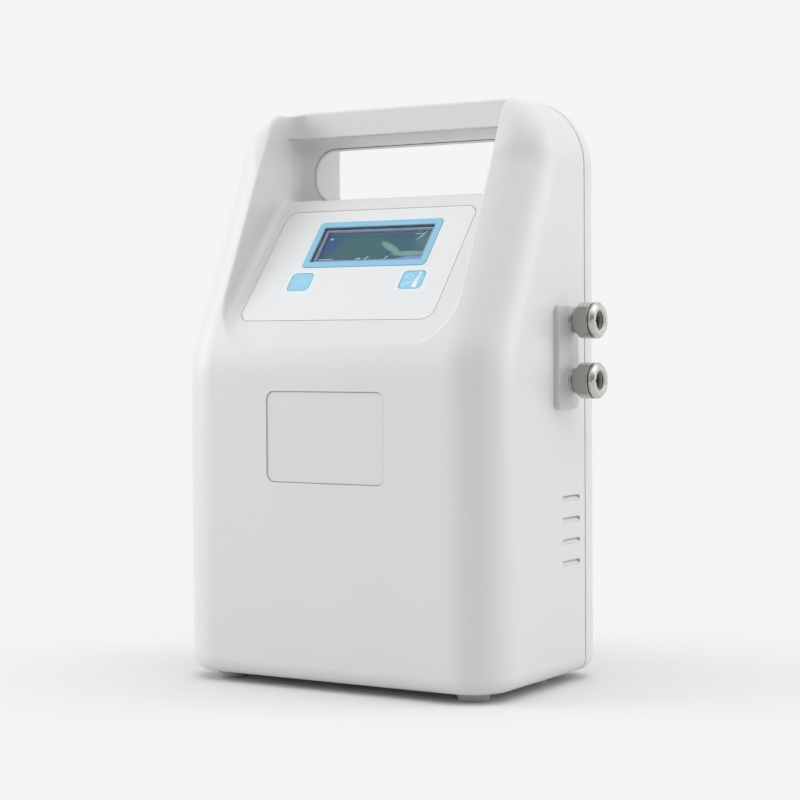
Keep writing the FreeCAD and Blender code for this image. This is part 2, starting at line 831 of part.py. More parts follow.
def case_screws():
    screws = []
    for x, z in boss_rows():
        seat = Vector(x, screw_seat_y(), z)
        tip = front_end_y - case_screw_bite
        head = rod(seat, y_axis, case_head_radius, case_head_height)
        shaft = rod(Vector(x, tip, z), y_axis, case_screw_radius, seat.y - tip)
        slots = cross_slots(seat + y_axis * case_head_height, -y_axis, case_head_radius)
        screws.append(head.cut(slots).fuse(shaft))
    return together(screws)


save("case_screws", case_screws())


# ---------------------------------------------------------------- feet
def foot(x, y):
    """Round rubber foot, narrower at the floor, with a sunk screw."""
    body = Part.makeCone(foot_radius - foot_taper, foot_radius, foot_height, Vector(x, y, 0))
    body = body.makeFillet(foot_taper, chosen(body, lambda b: b.ZMax < 0.01))
    head = rod(Vector(x, y, -cut_past), z_axis, foot_head_radius + head_clearance,
               cut_past + foot_height - foot_floor)
    hole = rod(Vector(x, y, 0), z_axis, foot_screw_radius + pilot_clearance, foot_height)
    return body.cut([head, hole])


def foot_screws():
    screws = []
    for x, y in foot_places():
        seat = Vector(x, y, foot_height - foot_floor)
        face = seat - z_axis * foot_head_height
        head = rod(face, z_axis, foot_head_radius, foot_head_height)
        shaft = rod(seat, z_axis, foot_screw_radius, foot_floor + foot_boss_height - foot_screw_gap)
        screws.append(head.cut(cross_slots(face, z_axis, foot_head_radius)).fuse(shaft))
    return together(screws)


foot_names = ("foot_front_left", "foot_front_right", "foot_rear_left", "foot_rear_right")
for name, (x, y) in zip(foot_names, foot_places()):
    save(name, foot(x, y))
save("foot_screws", foot_screws())


# ---------------------------------------------------------------- badge plate
def badge_plate():
    left = badge_width / 2 - badge_gap
    solid = box((-left, badge_pocket - badge_thickness, badge_bottom_z + badge_gap),
                (left, badge_pocket, badge_top_z - badge_gap))
    corners = chosen(solid, lambda b: b.YLength > badge_thickness / 2 and b.XLength < 0.01
                     and b.ZLength < 0.01)
    return solid.makeFillet(badge_radius - badge_gap, corners)


save("badge_plate", badge_plate())


# ---------------------------------------------------------------- control panel pieces
def on_panel(shape):
    """Carry a piece from panel coordinates to the case."""
    moved = shape.copy()
    moved.Placement = panel_place
    return moved


def overlay():
    solid = plate(overlay_left + overlay_gap, overlay_right - overlay_gap, overlay_gap,
                  overlay_length - overlay_gap, -overlay_thickness, overlay_thickness,
                  overlay_radius - overlay_gap)
    opening = plate(-bezel_width / 2 - trim_gap, bezel_width / 2 + trim_gap, bezel_start - trim_gap,
                    bezel_start + bezel_length + trim_gap, -overlay_thickness - cut_past,
                    overlay_thickness + 2 * cut_past, bezel_radius + trim_gap)
    return solid.cut([opening] + key_holes())


def display_bezel():
    solid = plate(-bezel_width / 2, bezel_width / 2, bezel_start, bezel_start + bezel_length,
                  -overlay_thickness, overlay_thickness + bezel_proud, bezel_radius)
    rim = chosen(solid, lambda b: b.ZMin > bezel_proud - 0.01)
    solid = solid.makeFillet(bezel_proud, rim)
    return solid.cut(plate(-window_width / 2, window_width / 2, bezel_middle - window_length / 2,
                           bezel_middle + window_length / 2, -overlay_thickness - cut_past,
                           overlay_thickness + 2 * cut_past, window_radius))


def display_lens():
    return plate(-window_width / 2 + trim_gap, window_width / 2 - trim_gap,
                 bezel_middle - window_length / 2 + trim_gap, bezel_middle + window_length / 2 - trim_gap,
                 -overlay_thickness, lens_thickness, window_radius - trim_gap / 2)


def display_module_frame():
    """Pressed metal frame round the display glass."""
    top, bottom = -wall - key_flange_gap, display_board_top
    outer = box((-module_width / 2, bezel_middle - module_length / 2, bottom),
                (module_width / 2, bezel_middle + module_length / 2, top))
    half_w, half_l = module_width / 2 - module_rim, module_length / 2 - module_rim
    return outer.cut(box((-half_w, bezel_middle - half_l, bottom - cut_past),
                         (half_w, bezel_middle + half_l, top + cut_past)))


def display_glass():
    half_w = module_width / 2 - module_rim - trim_gap
    half_l = module_length / 2 - module_rim - trim_gap
    return box((-half_w, bezel_middle - half_l, display_board_top),
               (half_w, bezel_middle + half_l, -wall - key_flange_gap - seat_clearance))


def key(side):
    """Key cap with the flange that keeps it in the panel."""
    overlap = key_flange_thickness / 2
    cap = on_key(side, 0, key_foot + overlap, -key_foot - overlap, key_radius)
    cap = cap.makeFillet(bezel_proud, chosen(cap, lambda b: b.ZMin > -0.01))
    return joined(cap, [on_key(side, key_flange, key_foot, key_flange_thickness, key_radius)])


def switch_body(side):
    u = side * key_offset
    body = box((u - switch_size / 2, key_middle - switch_size / 2, display_board_top),
               (u + switch_size / 2, key_middle + switch_size / 2, switch_top))
    depth = switch_plunger_depth + key_travel + stop_gap
    return body.cut(rod(Vector(u, key_middle, switch_top - depth), z_axis,
                        switch_plunger_radius + running_gap, depth + cut_past))


def switch_plunger(side):
    return rod(Vector(side * key_offset, key_middle, switch_top - switch_plunger_depth), z_axis,
               switch_plunger_radius, key_foot - switch_top + switch_plunger_depth)


def display_board():
    solid = box((-display_board_width / 2, display_board_start, display_board_top - board_thickness),
                (display_board_width / 2, display_board_start + display_board_length, display_board_top))
    holes = [rod(Vector(u, v, display_board_top - 2 * board_thickness), z_axis, screw_hole,
                 3 * board_thickness) for u, v in display_post_places()]
    return solid.cut(holes)


def machine_screw(seat, axis, grip):
    """Small pan head screw: head outside the seat, shaft of a given grip along axis."""
    head = rod(seat - axis * small_head_height, axis, small_head_radius, small_head_height)
    head = head.makeFillet(small_head_height / 3, [e for e in head.Edges if e.Closed
                           and (e.BoundBox.Center - seat).dot(axis) < -small_head_height / 2])
    head = head.cut(cross_slots(seat - axis * small_head_height, axis, small_head_radius))
    return head.fuse(rod(seat, axis, small_screw_radius, grip))


def display_screws():
    seat = display_board_top - board_thickness
    return together([machine_screw(Vector(u, v, seat), z_axis, board_thickness + small_screw_bite / 2)
                     for u, v in display_post_places()])


save("control_overlay", on_panel(overlay()))
save("display_bezel", on_panel(display_bezel()))
save("display_lens", on_panel(display_lens()))
save("display_module_frame", on_panel(display_module_frame()))
save("display_glass", on_panel(display_glass()))
save("display_board", on_panel(display_board()))
save("display_screws", on_panel(display_screws()))
for name, side in (("left", -1), ("right", 1)):
    save("key_" + name, on_panel(key(side)))
    save("switch_body_" + name, on_panel(switch_body(side)))
    save("switch_plunger_" + name, on_panel(switch_plunger(side)))
print("panel done")


# ---------------------------------------------------------------- air ports
def port_plate():
    solid = box((half_width, plate_start_y, plate_bottom_z),
                (half_width + plate_thickness, plate_start_y + plate_width, plate_top_z))
    solid = solid.makeFillet(plate_radius, chosen(solid, lambda b: b.XLength > 1))
    face_x = half_width + plate_thickness
    solid = solid.makeFillet(plate_edge, chosen(solid, lambda b: b.XMin > face_x - 0.01))
    holes = [rod(Vector(half_width - cut_past, port_y, z), x_axis,
                 port_thread_radius + port_hole_clearance, plate_thickness + 2 * cut_past)
             for z in port_heights]
    return solid.cut(holes)


seal_x = half_width + plate_thickness
shoulder_x = seal_x + seal_thickness
cone_x = shoulder_x + port_shoulder_length
cone_length = port_body_radius - port_thread_radius
rim_x = cone_x + port_body_length
collar_x = rim_x + collar_gap
face_x = collar_x + collar_length
spigot_end_x = face_x - collar_lip - collar_travel - stop_gap
nut_x = half_width - wall - port_nut_thickness
barb_x = nut_x - barb_setback - port_barb_length


def coupling_body(z):
    """Turned body of a hose coupling: barb, thread, shoulder, milled body and spigot."""
    axis = Vector(0, port_y, z)
    outline = [(barb_x, 0), (barb_x, port_barb_radius - barb_lead), (barb_x + barb_setback, port_barb_radius),
               (barb_x + port_barb_length, port_barb_radius), (barb_x + port_barb_length, port_thread_radius),
               (shoulder_x, port_thread_radius), (shoulder_x, port_shoulder_radius),
               (cone_x, port_shoulder_radius), (cone_x, port_thread_radius),
               (cone_x + cone_length, port_body_radius), (rim_x, port_body_radius),
               (rim_x, port_spigot_radius), (spigot_end_x, port_spigot_radius), (spigot_end_x, 0)]
    body = turned(outline, axis)
    for side in (-1, 1):
        low, high = span(side * port_flat, side * 2 * port_body_radius)
        body = body.cut(box((cone_x, port_y + low, z - 2 * port_body_radius),
                            (rim_x - port_rim, port_y + high, z + 2 * port_body_radius)))
    floor_x = spigot_end_x - port_bore_depth
    bore = rod(Vector(floor_x, port_y, z), x_axis, port_bore_radius, port_bore_depth + cut_past)
    air = rod(Vector(barb_x - cut_past, port_y, z), x_axis, port_air_radius, floor_x - barb_x + 2 * cut_past)
    return body.cut([bore, air])


def release_collar(z):
    """Sleeve that slides back over the spigot to let the hose connector go."""
    axis = Vector(0, port_y, z)
    lip_x = face_x - collar_lip
    outline = [(collar_x, port_spigot_radius + running_gap), (collar_x, port_body_radius),
               (face_x - collar_bevel, port_body_radius), (face_x, port_body_radius - collar_bevel),
               (face_x, collar_mouth_radius), (lip_x, collar_bore_radius),
               (lip_x, port_spigot_radius + running_gap)]
    collar = turned(outline, axis)
    slit = box((face_x - collar_slit, port_y - port_body_radius, z - collar_slit / 2),
               (face_x + cut_past, port_y + port_body_radius, z + collar_slit / 2))
    return collar.cut(slit)


def port_seals():
    return together([ring(Vector(seal_x, port_y, z), x_axis, seal_radius,
                          port_thread_radius + port_hole_clearance, seal_thickness)
                     for z in port_heights])


def port_nuts():
    nuts = []
    for z in port_heights:
        corner = port_nut_flats / math.sqrt(3)
        points = [Vector(nut_x, port_y + corner * math.cos(math.radians(60 * k)),
                         z + corner * math.sin(math.radians(60 * k))) for k in range(6)]
        nut = polygon_prism(points, Vector(port_nut_thickness, 0, 0))
        nuts.append(nut.cut(rod(Vector(nut_x - cut_past, port_y, z), x_axis, port_thread_radius,
                                port_nut_thickness + 2 * cut_past)))
    return together(nuts)


save("port_plate", port_plate())
save("port_seals", port_seals())
save("port_nuts", port_nuts())
for name, z in (("upper", port_upper_z), ("lower", port_lower_z)):
    save("coupling_body_" + name, coupling_body(z))
    save("release_collar_" + name, release_collar(z))
print("ports done")


# ---------------------------------------------------------------- chassis
chassis_top_face = chassis_z + chassis_thickness
upright_back_y = chassis_back_y + chassis_thickness
manifold_middle = manifold_x + manifold_width / 2


def supply_places():
    return [(x, z) for x in (supply_board_left + standoff_inset, supply_board_right - standoff_inset)
            for z in (supply_board_bottom_z + standoff_inset, supply_board_top_z - standoff_inset)]


def manifold_screw_places():
    return [(manifold_middle, manifold_bottom_z + manifold_screw_inset),
            (manifold_middle, manifold_top_z - manifold_screw_inset)]


def chassis():
    """Bent sheet: a base under the pump and an upright behind the manifold."""
    base = box((-chassis_half_width, chassis_front_y, chassis_z),
               (chassis_half_width, upright_back_y, chassis_top_face))
    upright = box((-chassis_half_width, chassis_back_y, chassis_z),
                  (chassis_half_width, upright_back_y, chassis_top_z))
    sheet = joined(base, [upright])
    inside = chosen(sheet, lambda b: b.XLength > 1 and b.ZLength < 0.01 and b.YLength < 0.01
                    and abs(b.ZMax - chassis_top_face) < 0.01 and abs(b.YMin - chassis_back_y) < 0.01)
    sheet = sheet.makeFillet(chassis_bend, inside)
    outside = chosen(sheet, lambda b: b.XLength > 1 and b.ZMax < chassis_z + 0.01
                     and b.YMin > upright_back_y - 0.01)
    sheet = sheet.makeFillet(chassis_bend + chassis_thickness, outside)
    standoffs, cuts = [], []
    for x, z in supply_places():
        start = Vector(x, chassis_back_y, z)
        standoffs.append(rod(start, y_axis, standoff_radius, chassis_thickness + standoff_height))
        cuts.append(rod(start - y_axis * cut_past, y_axis, small_screw_radius + pilot_clearance,
                        2 * standoff_height))
    through = chassis_thickness + 2 * cut_past
    for x, y in chassis_places():
        cuts.append(rod(Vector(x, y, chassis_z - cut_past), z_axis, screw_hole, through))
    for x, z in manifold_screw_places():
        cuts.append(rod(Vector(x, chassis_back_y - cut_past, z), y_axis, screw_hole, through))
    half_w, half_h = inlet_body_width / 2 + inlet_window_gap, inlet_body_height / 2 + inlet_window_gap
    cuts.append(box((inlet_x - half_w, chassis_back_y - cut_past, inlet_z - half_h),
                    (inlet_x + half_w, upright_back_y + cut_past, inlet_z + half_h)))
    return joined(sheet, standoffs).cut(cuts)


def chassis_screws():
    """Four screws into the floor bosses and two into the manifold."""
    grip = chassis_thickness + small_screw_bite - screw_tip_gap
    screws = [machine_screw(Vector(x, y, chassis_top_face), -z_axis, grip) for x, y in chassis_places()]
    screws += [machine_screw(Vector(x, upright_back_y, z), -y_axis, grip) for x, z in manifold_screw_places()]
    return together(screws)


save("chassis", chassis())
save("chassis_screws", chassis_screws())


# ---------------------------------------------------------------- air pump
pump_base_z = chassis_top_face + grommet_height
pump_base_top = pump_base_z + pump_base_thickness
pump_reach = pump_half_length + pump_end_plate
head_x = pump_reach + diaphragm_thickness
core_near = armature_block_width / 2 + air_gap


def pump_grommets():
    """Four rubber mounts with a waist, between the chassis and the pump."""
    mounts = []
    for side_x in (-1, 1):
        for side_y in (-1, 1):
            start = Vector(side_x * (pump_half_length - grommet_inset_x),
                           pump_y + side_y * (pump_base_width / 2 - grommet_inset_y), chassis_top_face)
            groove = ring(start + z_axis * grommet_height / 3, z_axis, grommet_radius + cut_past,
                          grommet_waist, grommet_height / 3)
            mounts.append(rod(start, z_axis, grommet_radius, grommet_height).cut(groove))
    return together(mounts)


def pump_frame():
    """Base plate, two end plates and the seats of the cores, in one casting."""
    half = pump_base_width / 2
    base = box((-pump_reach, pump_y - half, pump_base_z), (pump_reach, pump_y + half, pump_base_top))
    added, cuts = [], []
    for side in (-1, 1):
        low, high = span(side * pump_half_length, side * pump_reach)
        added.append(box((low, pump_y - head_radius, pump_base_z),
                         (high, pump_y + head_radius, pump_axis_z)))
        added.append(rod(Vector(low, pump_y, pump_axis_z), x_axis, head_radius, pump_end_plate))
        cuts.append(rod(Vector(low - cut_past, pump_y, pump_axis_z), x_axis, head_cavity_radius,
                        pump_end_plate + 2 * cut_past))
        near, far = span(side * (core_near + core_depth - core_leg), side * (core_near + core_depth))
        added.append(box((-core_length / 2, pump_y + near, pump_base_z),
                         (core_length / 2, pump_y + far, pump_axis_z - core_half_height)))
    return joined(base, added).cut(cuts)


def beside_armature(shape, side):
    """Carry a shape made in front of +Y to one side of the armature."""
    placed = shape.copy()
    if side < 0:
        placed.rotate(Vector(0, 0, 0), z_axis, 180)
    placed.translate(Vector(0, pump_y, pump_axis_z))
    return placed


def pump_cores():
    """Two E-shaped stacks of laminations that face the armature."""
    tall = core_half_height
    back_y, end_y = core_near + core_depth - core_leg, core_near + core_depth
    back = box((-core_length / 2, back_y, -tall), (core_length / 2, end_y, tall))
    legs = [box((-core_leg, core_near, -tall), (core_leg, end_y, tall))]
    for side in (-1, 1):
        low, high = span(side * (core_length / 2 - core_leg), side * core_length / 2)
        legs.append(box((low, core_near, -tall), (high, end_y, tall)))
    core = joined(back, legs)
    return together([beside_armature(core, side) for side in (-1, 1)])


def pump_coils():
    """Two windings, each round the middle leg of its core."""
    start, end = core_near + coil_gap, core_near + core_depth - core_leg - coil_gap
    half_x, half_z = core_leg + coil_gap, core_half_height + coil_gap
    winding = box((-half_x - coil_wall, start, -half_z - coil_wall),
                  (half_x + coil_wall, end, half_z + coil_wall))
    winding = winding.makeFillet(coil_wall / 2, chosen(winding, lambda b: b.YLength > 1))
    winding = winding.cut(box((-half_x, start - cut_past, -half_z), (half_x, end + cut_past, half_z)))
    return together([beside_armature(winding, side) for side in (-1, 1)])


def magnet_places():
    """Low and high X of the two magnets in the armature."""
    edge = armature_block_length / 2 - magnet_margin
    return [span(side * (edge - magnet_length), side * edge) for side in (-1, 1)]


def armature():
    """Magnet carrier with its rod and the discs that hold the diaphragms."""
    half_y, half_z = armature_block_width / 2, armature_block_height / 2
    block = box((-armature_block_length / 2, pump_y - half_y, pump_axis_z - half_z),
                (armature_block_length / 2, pump_y + half_y, pump_axis_z + half_z))
    shaft = rod(Vector(-pump_reach, pump_y, pump_axis_z), x_axis, armature_radius, 2 * pump_reach)
    discs = []
    for side in (-1, 1):
        low, high = span(side * (pump_reach - disc_thickness), side * (head_x + disc_thickness))
        discs.append(rod(Vector(low, pump_y, pump_axis_z), x_axis, disc_radius, high - low))
    pockets = [box((low, pump_y - half_y - cut_past, pump_axis_z - magnet_height / 2),
                   (high, pump_y + half_y + cut_past, pump_axis_z + magnet_height / 2))
               for low, high in magnet_places()]
    return joined(block, [shaft] + discs).cut(pockets)


def armature_magnets():
    return together([box((low, pump_y - armature_block_width / 2, pump_axis_z - magnet_height / 2),
                         (high, pump_y + armature_block_width / 2, pump_axis_z + magnet_height / 2))
                     for low, high in magnet_places()])


def diaphragm(side):
    """Rubber ring with a half-round roll, clamped between end plate and head."""
    low, high = span(side * pump_reach, side * head_x)
    inner = disc_radius + seat_clearance
    rubber = ring(Vector(low, pump_y, pump_axis_z), x_axis, head_radius, inner, diaphragm_thickness)
    roll = Part.makeTorus((inner + head_cavity_radius) / 2, diaphragm_roll,
                          Vector(side * head_x, pump_y, pump_axis_z), x_axis)
    return joined(rubber, [roll])


def pump_head(side):
    """Cap over the diaphragm with its air chamber and outlet nipple."""
    low, high = span(side * head_x, side * (head_x + head_length))
    body = rod(Vector(low, pump_y, pump_axis_z), x_axis, head_radius, head_length)
    end_x = side * (head_x + head_length)
    body = body.makeFillet(head_edge, chosen(body, lambda b: b.XLength < 0.01 and abs(b.XMin - end_x) < 0.01))
    nipple = Vector(side * (head_x + head_nipple_x), pump_y, pump_axis_z)
    tall = head_radius + nipple_length
    body = joined(body, [rod(nipple, z_axis, nipple_radius, tall)])
    depth = disc_thickness + armature_stroke + head_dead_space
    low, high = span(side * (head_x - cut_past), side * (head_x + depth))
    cavity = rod(Vector(low, pump_y, pump_axis_z), x_axis, head_cavity_radius, high - low)
    low, high = span(side * head_x, side * (head_x + head_nipple_x))
    return body.cut([cavity, rod(nipple, z_axis, port_air_radius, tall + cut_past),
                     rod(Vector(low, pump_y, pump_axis_z), x_axis, cross_bore_radius, high - low)])


save("pump_grommets", pump_grommets())
save("pump_frame", pump_frame())
save("pump_cores", pump_cores())
save("pump_coils", pump_coils())
save("armature", armature())
save("armature_magnets", armature_magnets())
for name, side in (("left", -1), ("right", 1)):
    save("diaphragm_" + name, diaphragm(side))
    save("pump_head_" + name, pump_head(side))
print("pump done")


# ---------------------------------------------------------------- manifold, valves and hoses
manifold_right_x = manifold_x + manifold_width
manifold_front_y = chassis_back_y - manifold_depth


def inlet_nipples():
    """Side of each bottom inlet from the ports' line, and the port that it feeds."""
    return ((-1, port_upper_z), (1, port_lower_z))


def manifold():
    """Block that leads each pump head's air past its valve to a port."""
    block = box((manifold_x, manifold_front_y, manifold_bottom_z),
                (manifold_right_x, chassis_back_y, manifold_top_z))
    nipples, cuts = [], []
    for side, z in inlet_nipples():
        y = port_y + side * nipple_spread
        low = manifold_bottom_z - nipple_length
        nipples.append(rod(Vector(manifold_middle, y, low), z_axis, nipple_radius, nipple_length + cut_past))
        cuts.append(rod(Vector(manifold_middle, y, low - cut_past), z_axis, port_air_radius,
                        z - low + cut_past + port_air_radius))
        near, far = span(y, port_y)
        cuts.append(rod(Vector(manifold_middle, near, z), y_axis, cross_bore_radius, far - near))
        nipples.append(rod(Vector(manifold_right_x - cut_past, port_y, z), x_axis, nipple_radius,
                           nipple_length + cut_past))
        cuts.append(rod(Vector(manifold_x - cut_past, port_y, z), x_axis, port_air_radius,
                        manifold_width + nipple_length + 2 * cut_past))
    for x, z in manifold_screw_places():
        cuts.append(rod(Vector(x, chassis_back_y - small_screw_bite, z), y_axis,
                        small_screw_radius + pilot_clearance, small_screw_bite + cut_past))
    return joined(block, nipples).cut(cuts)


def valve_body(z):
    """Solenoid valve: coil housing with a smaller cap and the plunger's bore."""
    half, cap_half = valve_size / 2, valve_size / 2 - valve_cap_step
    body = box((manifold_x - valve_length, port_y - half, z - half),
               (manifold_x, port_y + half, z + half))
    cap = box((manifold_x - valve_length - valve_cap, port_y - cap_half, z - cap_half),
              (manifold_x - valve_length, port_y + cap_half, z + cap_half))
    depth = plunger_length + plunger_travel + 2 * stop_gap
    bore = rod(Vector(manifold_x - depth, port_y, z), x_axis, plunger_radius + running_gap,
               depth + cut_past)
    return joined(body, [cap]).cut(bore)


def valve_plunger(z):
    start = Vector(manifold_x - stop_gap - plunger_length, port_y, z)
    return rod(start, x_axis, plunger_radius, plunger_length)


def hose_path(points):
    """Wire of straight runs with a tangent arc at each inner point."""
    edges, start = [], points[0]
    for before, corner, after in zip(points, points[1:], points[2:]):
        arriving, leaving = (corner - before).normalize(), (after - corner).normalize()
        turn = arriving.getAngle(leaving)
        reach = hose_bend * math.tan(turn / 2)
        first, last = corner - arriving * reach, corner + leaving * reach
        inward = (leaving - arriving).normalize()
        centre = corner + inward * (hose_bend / math.cos(turn / 2))
        edges.append(line(start, first))
        edges.append(arc(first, centre - inward * hose_bend, last))
        start = last
    edges.append(line(start, points[-1]))
    return Part.Wire(edges)


def hose(points):
    """Hose along a path: the outer tube less its bore."""
    path = hose_path(points)
    ends = (points[1] - points[0]).normalize()
    tube, bore = [path.makePipe(Part.Face(Part.Wire(Part.makeCircle(radius, points[0], ends))))
                  for radius in (hose_radius, nipple_radius + hose_bore_gap)]
    return tube.cut(bore)


def pump_hoses():
    """The two hoses from the pump heads to the bottom of the manifold."""
    head_top = pump_axis_z + head_radius + seat_clearance
    hoses = []
    for side, height in ((-1, hose_left_z), (1, hose_right_z)):
        x, y = side * (head_x + head_nipple_x), port_y + side * nipple_spread
        hoses.append(hose([Vector(x, pump_y, head_top), Vector(x, pump_y, height),
                           Vector(manifold_middle, y, height),
                           Vector(manifold_middle, y, manifold_bottom_z - seat_clearance)]))
    return together(hoses)


def port_hoses():
    """The two short straight hoses from the manifold to the couplings' barbs."""
    start = manifold_right_x + seat_clearance
    return together([ring(Vector(start, port_y, z), x_axis, hose_radius, nipple_radius + hose_bore_gap,
                          barb_x + hose_grip - start) for z in port_heights])


save("manifold", manifold())
for name, z in (("upper", port_upper_z), ("lower", port_lower_z)):
    save("valve_body_" + name, valve_body(z))
    save("valve_plunger_" + name, valve_plunger(z))
save("pump_hoses", pump_hoses())
save("port_hoses", port_hoses())
print("air path done")


# ---------------------------------------------------------------- boards
main_board_y = wall + standoff_height
supply_board_y = upright_back_y + standoff_height


def main_board():
    half = main_board_width / 2
    board = box((-half, main_board_y, main_board_bottom_z),
                (half, main_board_y + board_thickness, main_board_top_z))
    return board.cut([rod(Vector(x, main_board_y - cut_past, z), y_axis, screw_hole,
                          board_thickness + 2 * cut_past) for x, z in main_board_places()])


def on_board(face_y, x, z, width, height, depth):
    """Component block that stands on a board's rear face."""
    return box((x - width / 2, face_y, z - height / 2), (x + width / 2, face_y + depth, z + height / 2))


def main_board_parts():
    """Processor, two pressure sensors with their inlets, buzzer and a connector."""
    face = main_board_y + board_thickness
    middle = (main_board_bottom_z + main_board_top_z) / 2
    parts = [on_board(face, -chip_offset, middle, chip_size, chip_size, chip_height),
             on_board(face, 0, main_board_bottom_z + connector_depth, connector_width, connector_depth,
                      connector_depth),
             rod(Vector(-chip_offset, face, main_board_bottom_z + buzzer_radius + board_margin), y_axis,
                 buzzer_radius, buzzer_height)]
    for x in (chip_offset, 2 * chip_offset):
        sensor = on_board(face, x, middle, sensor_size, sensor_size, sensor_height)
        parts.append(sensor.fuse(rod(Vector(x, face + sensor_height / 2, middle), y_axis, port_air_radius,
                                     sensor_height)))
    return together(parts)


def supply_board():
    board = box((supply_board_left, supply_board_y, supply_board_bottom_z),
                (supply_board_right, supply_board_y + board_thickness, supply_board_top_z))
    return board.cut([rod(Vector(x, supply_board_y - cut_past, z), y_axis, screw_hole,
                          board_thickness + 2 * cut_past) for x, z in supply_places()])


def supply_board_parts():
    """Transformer and a row of capacitors on the mains board."""
    face = supply_board_y + board_thickness
    middle = (supply_board_bottom_z + supply_board_top_z) / 2
    parts = [on_board(face, 0, middle, transformer_width, transformer_height, supply_part_depth)]
    for number in range(capacitor_count):
        x = supply_board_left + 2 * standoff_inset + (2 * number + 1) * capacitor_pitch / 2
        parts.append(rod(Vector(x, face, middle), y_axis, capacitor_radius, supply_part_depth))
    return together(parts)


def board_screws():
    """Four screws into the front standoffs and four into the chassis standoffs."""
    grip = board_thickness + small_screw_bite - screw_tip_gap
    screws = [machine_screw(Vector(x, main_board_y + board_thickness, z), -y_axis, grip)
              for x, z in main_board_places()]
    screws += [machine_screw(Vector(x, supply_board_y + board_thickness, z), -y_axis, grip)
               for x, z in supply_places()]
    return together(screws)


save("main_board", main_board())
save("main_board_parts", main_board_parts())
save("supply_board", supply_board())
save("supply_board_parts", supply_board_parts())
save("board_screws", board_screws())
print("boards done")


# ---------------------------------------------------------------- power inlet
flange_y = case_depth - inlet_pocket_depth
inlet_face_y = flange_y + inlet_flange
rocker_radius = rocker_height / 2 - rocker_gap
rocker_z = inlet_z + rocker_middle
rocker_axis_y = inlet_face_y - rocker_axis_depth


def screw_pair():
    return [inlet_x + side * inlet_screw_spacing / 2 for side in (-1, 1)]


def pin_places():
    """Two live pins and the earth pin between them, nearer the chamfered side."""
    middle = inlet_z + socket_middle
    return [(inlet_x - pin_spread, middle - pin_drop / 2), (inlet_x + pin_spread, middle - pin_drop / 2),
            (inlet_x, middle + pin_drop / 2)]


def centred_box(x, z, width, height, low_y, high_y):
    return box((x - width / 2, low_y, z - height / 2), (x + width / 2, high_y, z + height / 2))


def inlet_housing():
    """Moulded housing: flange, body, mains socket, fuse drawer slot and rocker well."""
    flange = centred_box(inlet_x, inlet_z, inlet_flange_width, inlet_flange_height, flange_y, inlet_face_y)
    flange = flange.makeFillet(inlet_flange_radius, chosen(flange, lambda b: b.YLength > 1))
    body = centred_box(inlet_x, inlet_z, inlet_body_width, inlet_body_height, flange_y - inlet_depth,
                       inlet_face_y)
    past_face = inlet_face_y + cut_past
    socket = centred_box(inlet_x, inlet_z + socket_middle, socket_width, socket_height,
                         inlet_face_y - socket_depth, past_face)
    upper = chosen(socket, lambda b: b.YLength > 1 and b.ZMin > inlet_z + socket_middle)
    cuts = [socket.makeChamfer(socket_chamfer, upper)]
    cuts.append(centred_box(inlet_x, inlet_z + drawer_middle, drawer_width, drawer_height,
                            inlet_face_y - drawer_depth - drawer_gap, past_face))
    well = centred_box(inlet_x, rocker_z, rocker_width, rocker_height, rocker_axis_y, past_face)
    round_well = rod(Vector(inlet_x - rocker_width / 2, rocker_axis_y, rocker_z), x_axis,
                     rocker_height / 2, rocker_width)
    pivot_length = rocker_width + 2 * rocker_pin_length
    cuts += [well, round_well, rod(Vector(inlet_x - pivot_length / 2, rocker_axis_y, rocker_z), x_axis,
                                   rocker_pin_radius + running_gap, pivot_length)]
    for x in screw_pair():
        cuts.append(rod(Vector(x, flange_y - cut_past, inlet_z), y_axis, screw_hole,
                        inlet_flange + 2 * cut_past))
    for x, z in pin_places():
        cuts.append(centred_box(x, z, pin_thickness, pin_width, flange_y - inlet_depth - cut_past,
                                inlet_face_y))
    return joined(flange, [body]).cut(cuts)


def inlet_pins():
    """Three flat pins that pass through the socket's floor and end in solder tabs."""
    floor_y = inlet_face_y - socket_depth
    pins = []
    for x, z in pin_places():
        pin = centred_box(x, z, pin_thickness, pin_width, flange_y - inlet_depth - pin_tab,
                          floor_y + pin_length)
        tip = chosen(pin, lambda b: b.YMin > floor_y + pin_length - 0.01)
        pins.append(pin.makeChamfer(pin_thickness / 4, tip))
    return together(pins)


def fuse_drawer():
    """Drawer with two round wells for the fuses and a notch to pull it by."""
    width, height = drawer_width - 2 * drawer_gap, drawer_height - 2 * drawer_gap
    z = inlet_z + drawer_middle
    drawer = centred_box(inlet_x, z, width, height, inlet_face_y - drawer_depth, inlet_face_y)
    cuts = [centred_box(inlet_x, z - height / 2, drawer_notch, drawer_face, inlet_face_y - drawer_face,
                        inlet_face_y + cut_past)]
    for x in fuse_places():
        cuts.append(rod(Vector(x, inlet_face_y - drawer_depth - cut_past, z), y_axis,
                        fuse_radius + fuse_gap, fuse_length + cut_past))
    return drawer.cut(cuts)


def fuse_places():
    return [inlet_x + side * drawer_width / 4 for side in (-1, 1)]


def fuses():
    return together([rod(Vector(x, inlet_face_y - drawer_depth, inlet_z + drawer_middle), y_axis, fuse_radius,
                         fuse_length - fuse_gap) for x in fuse_places()])


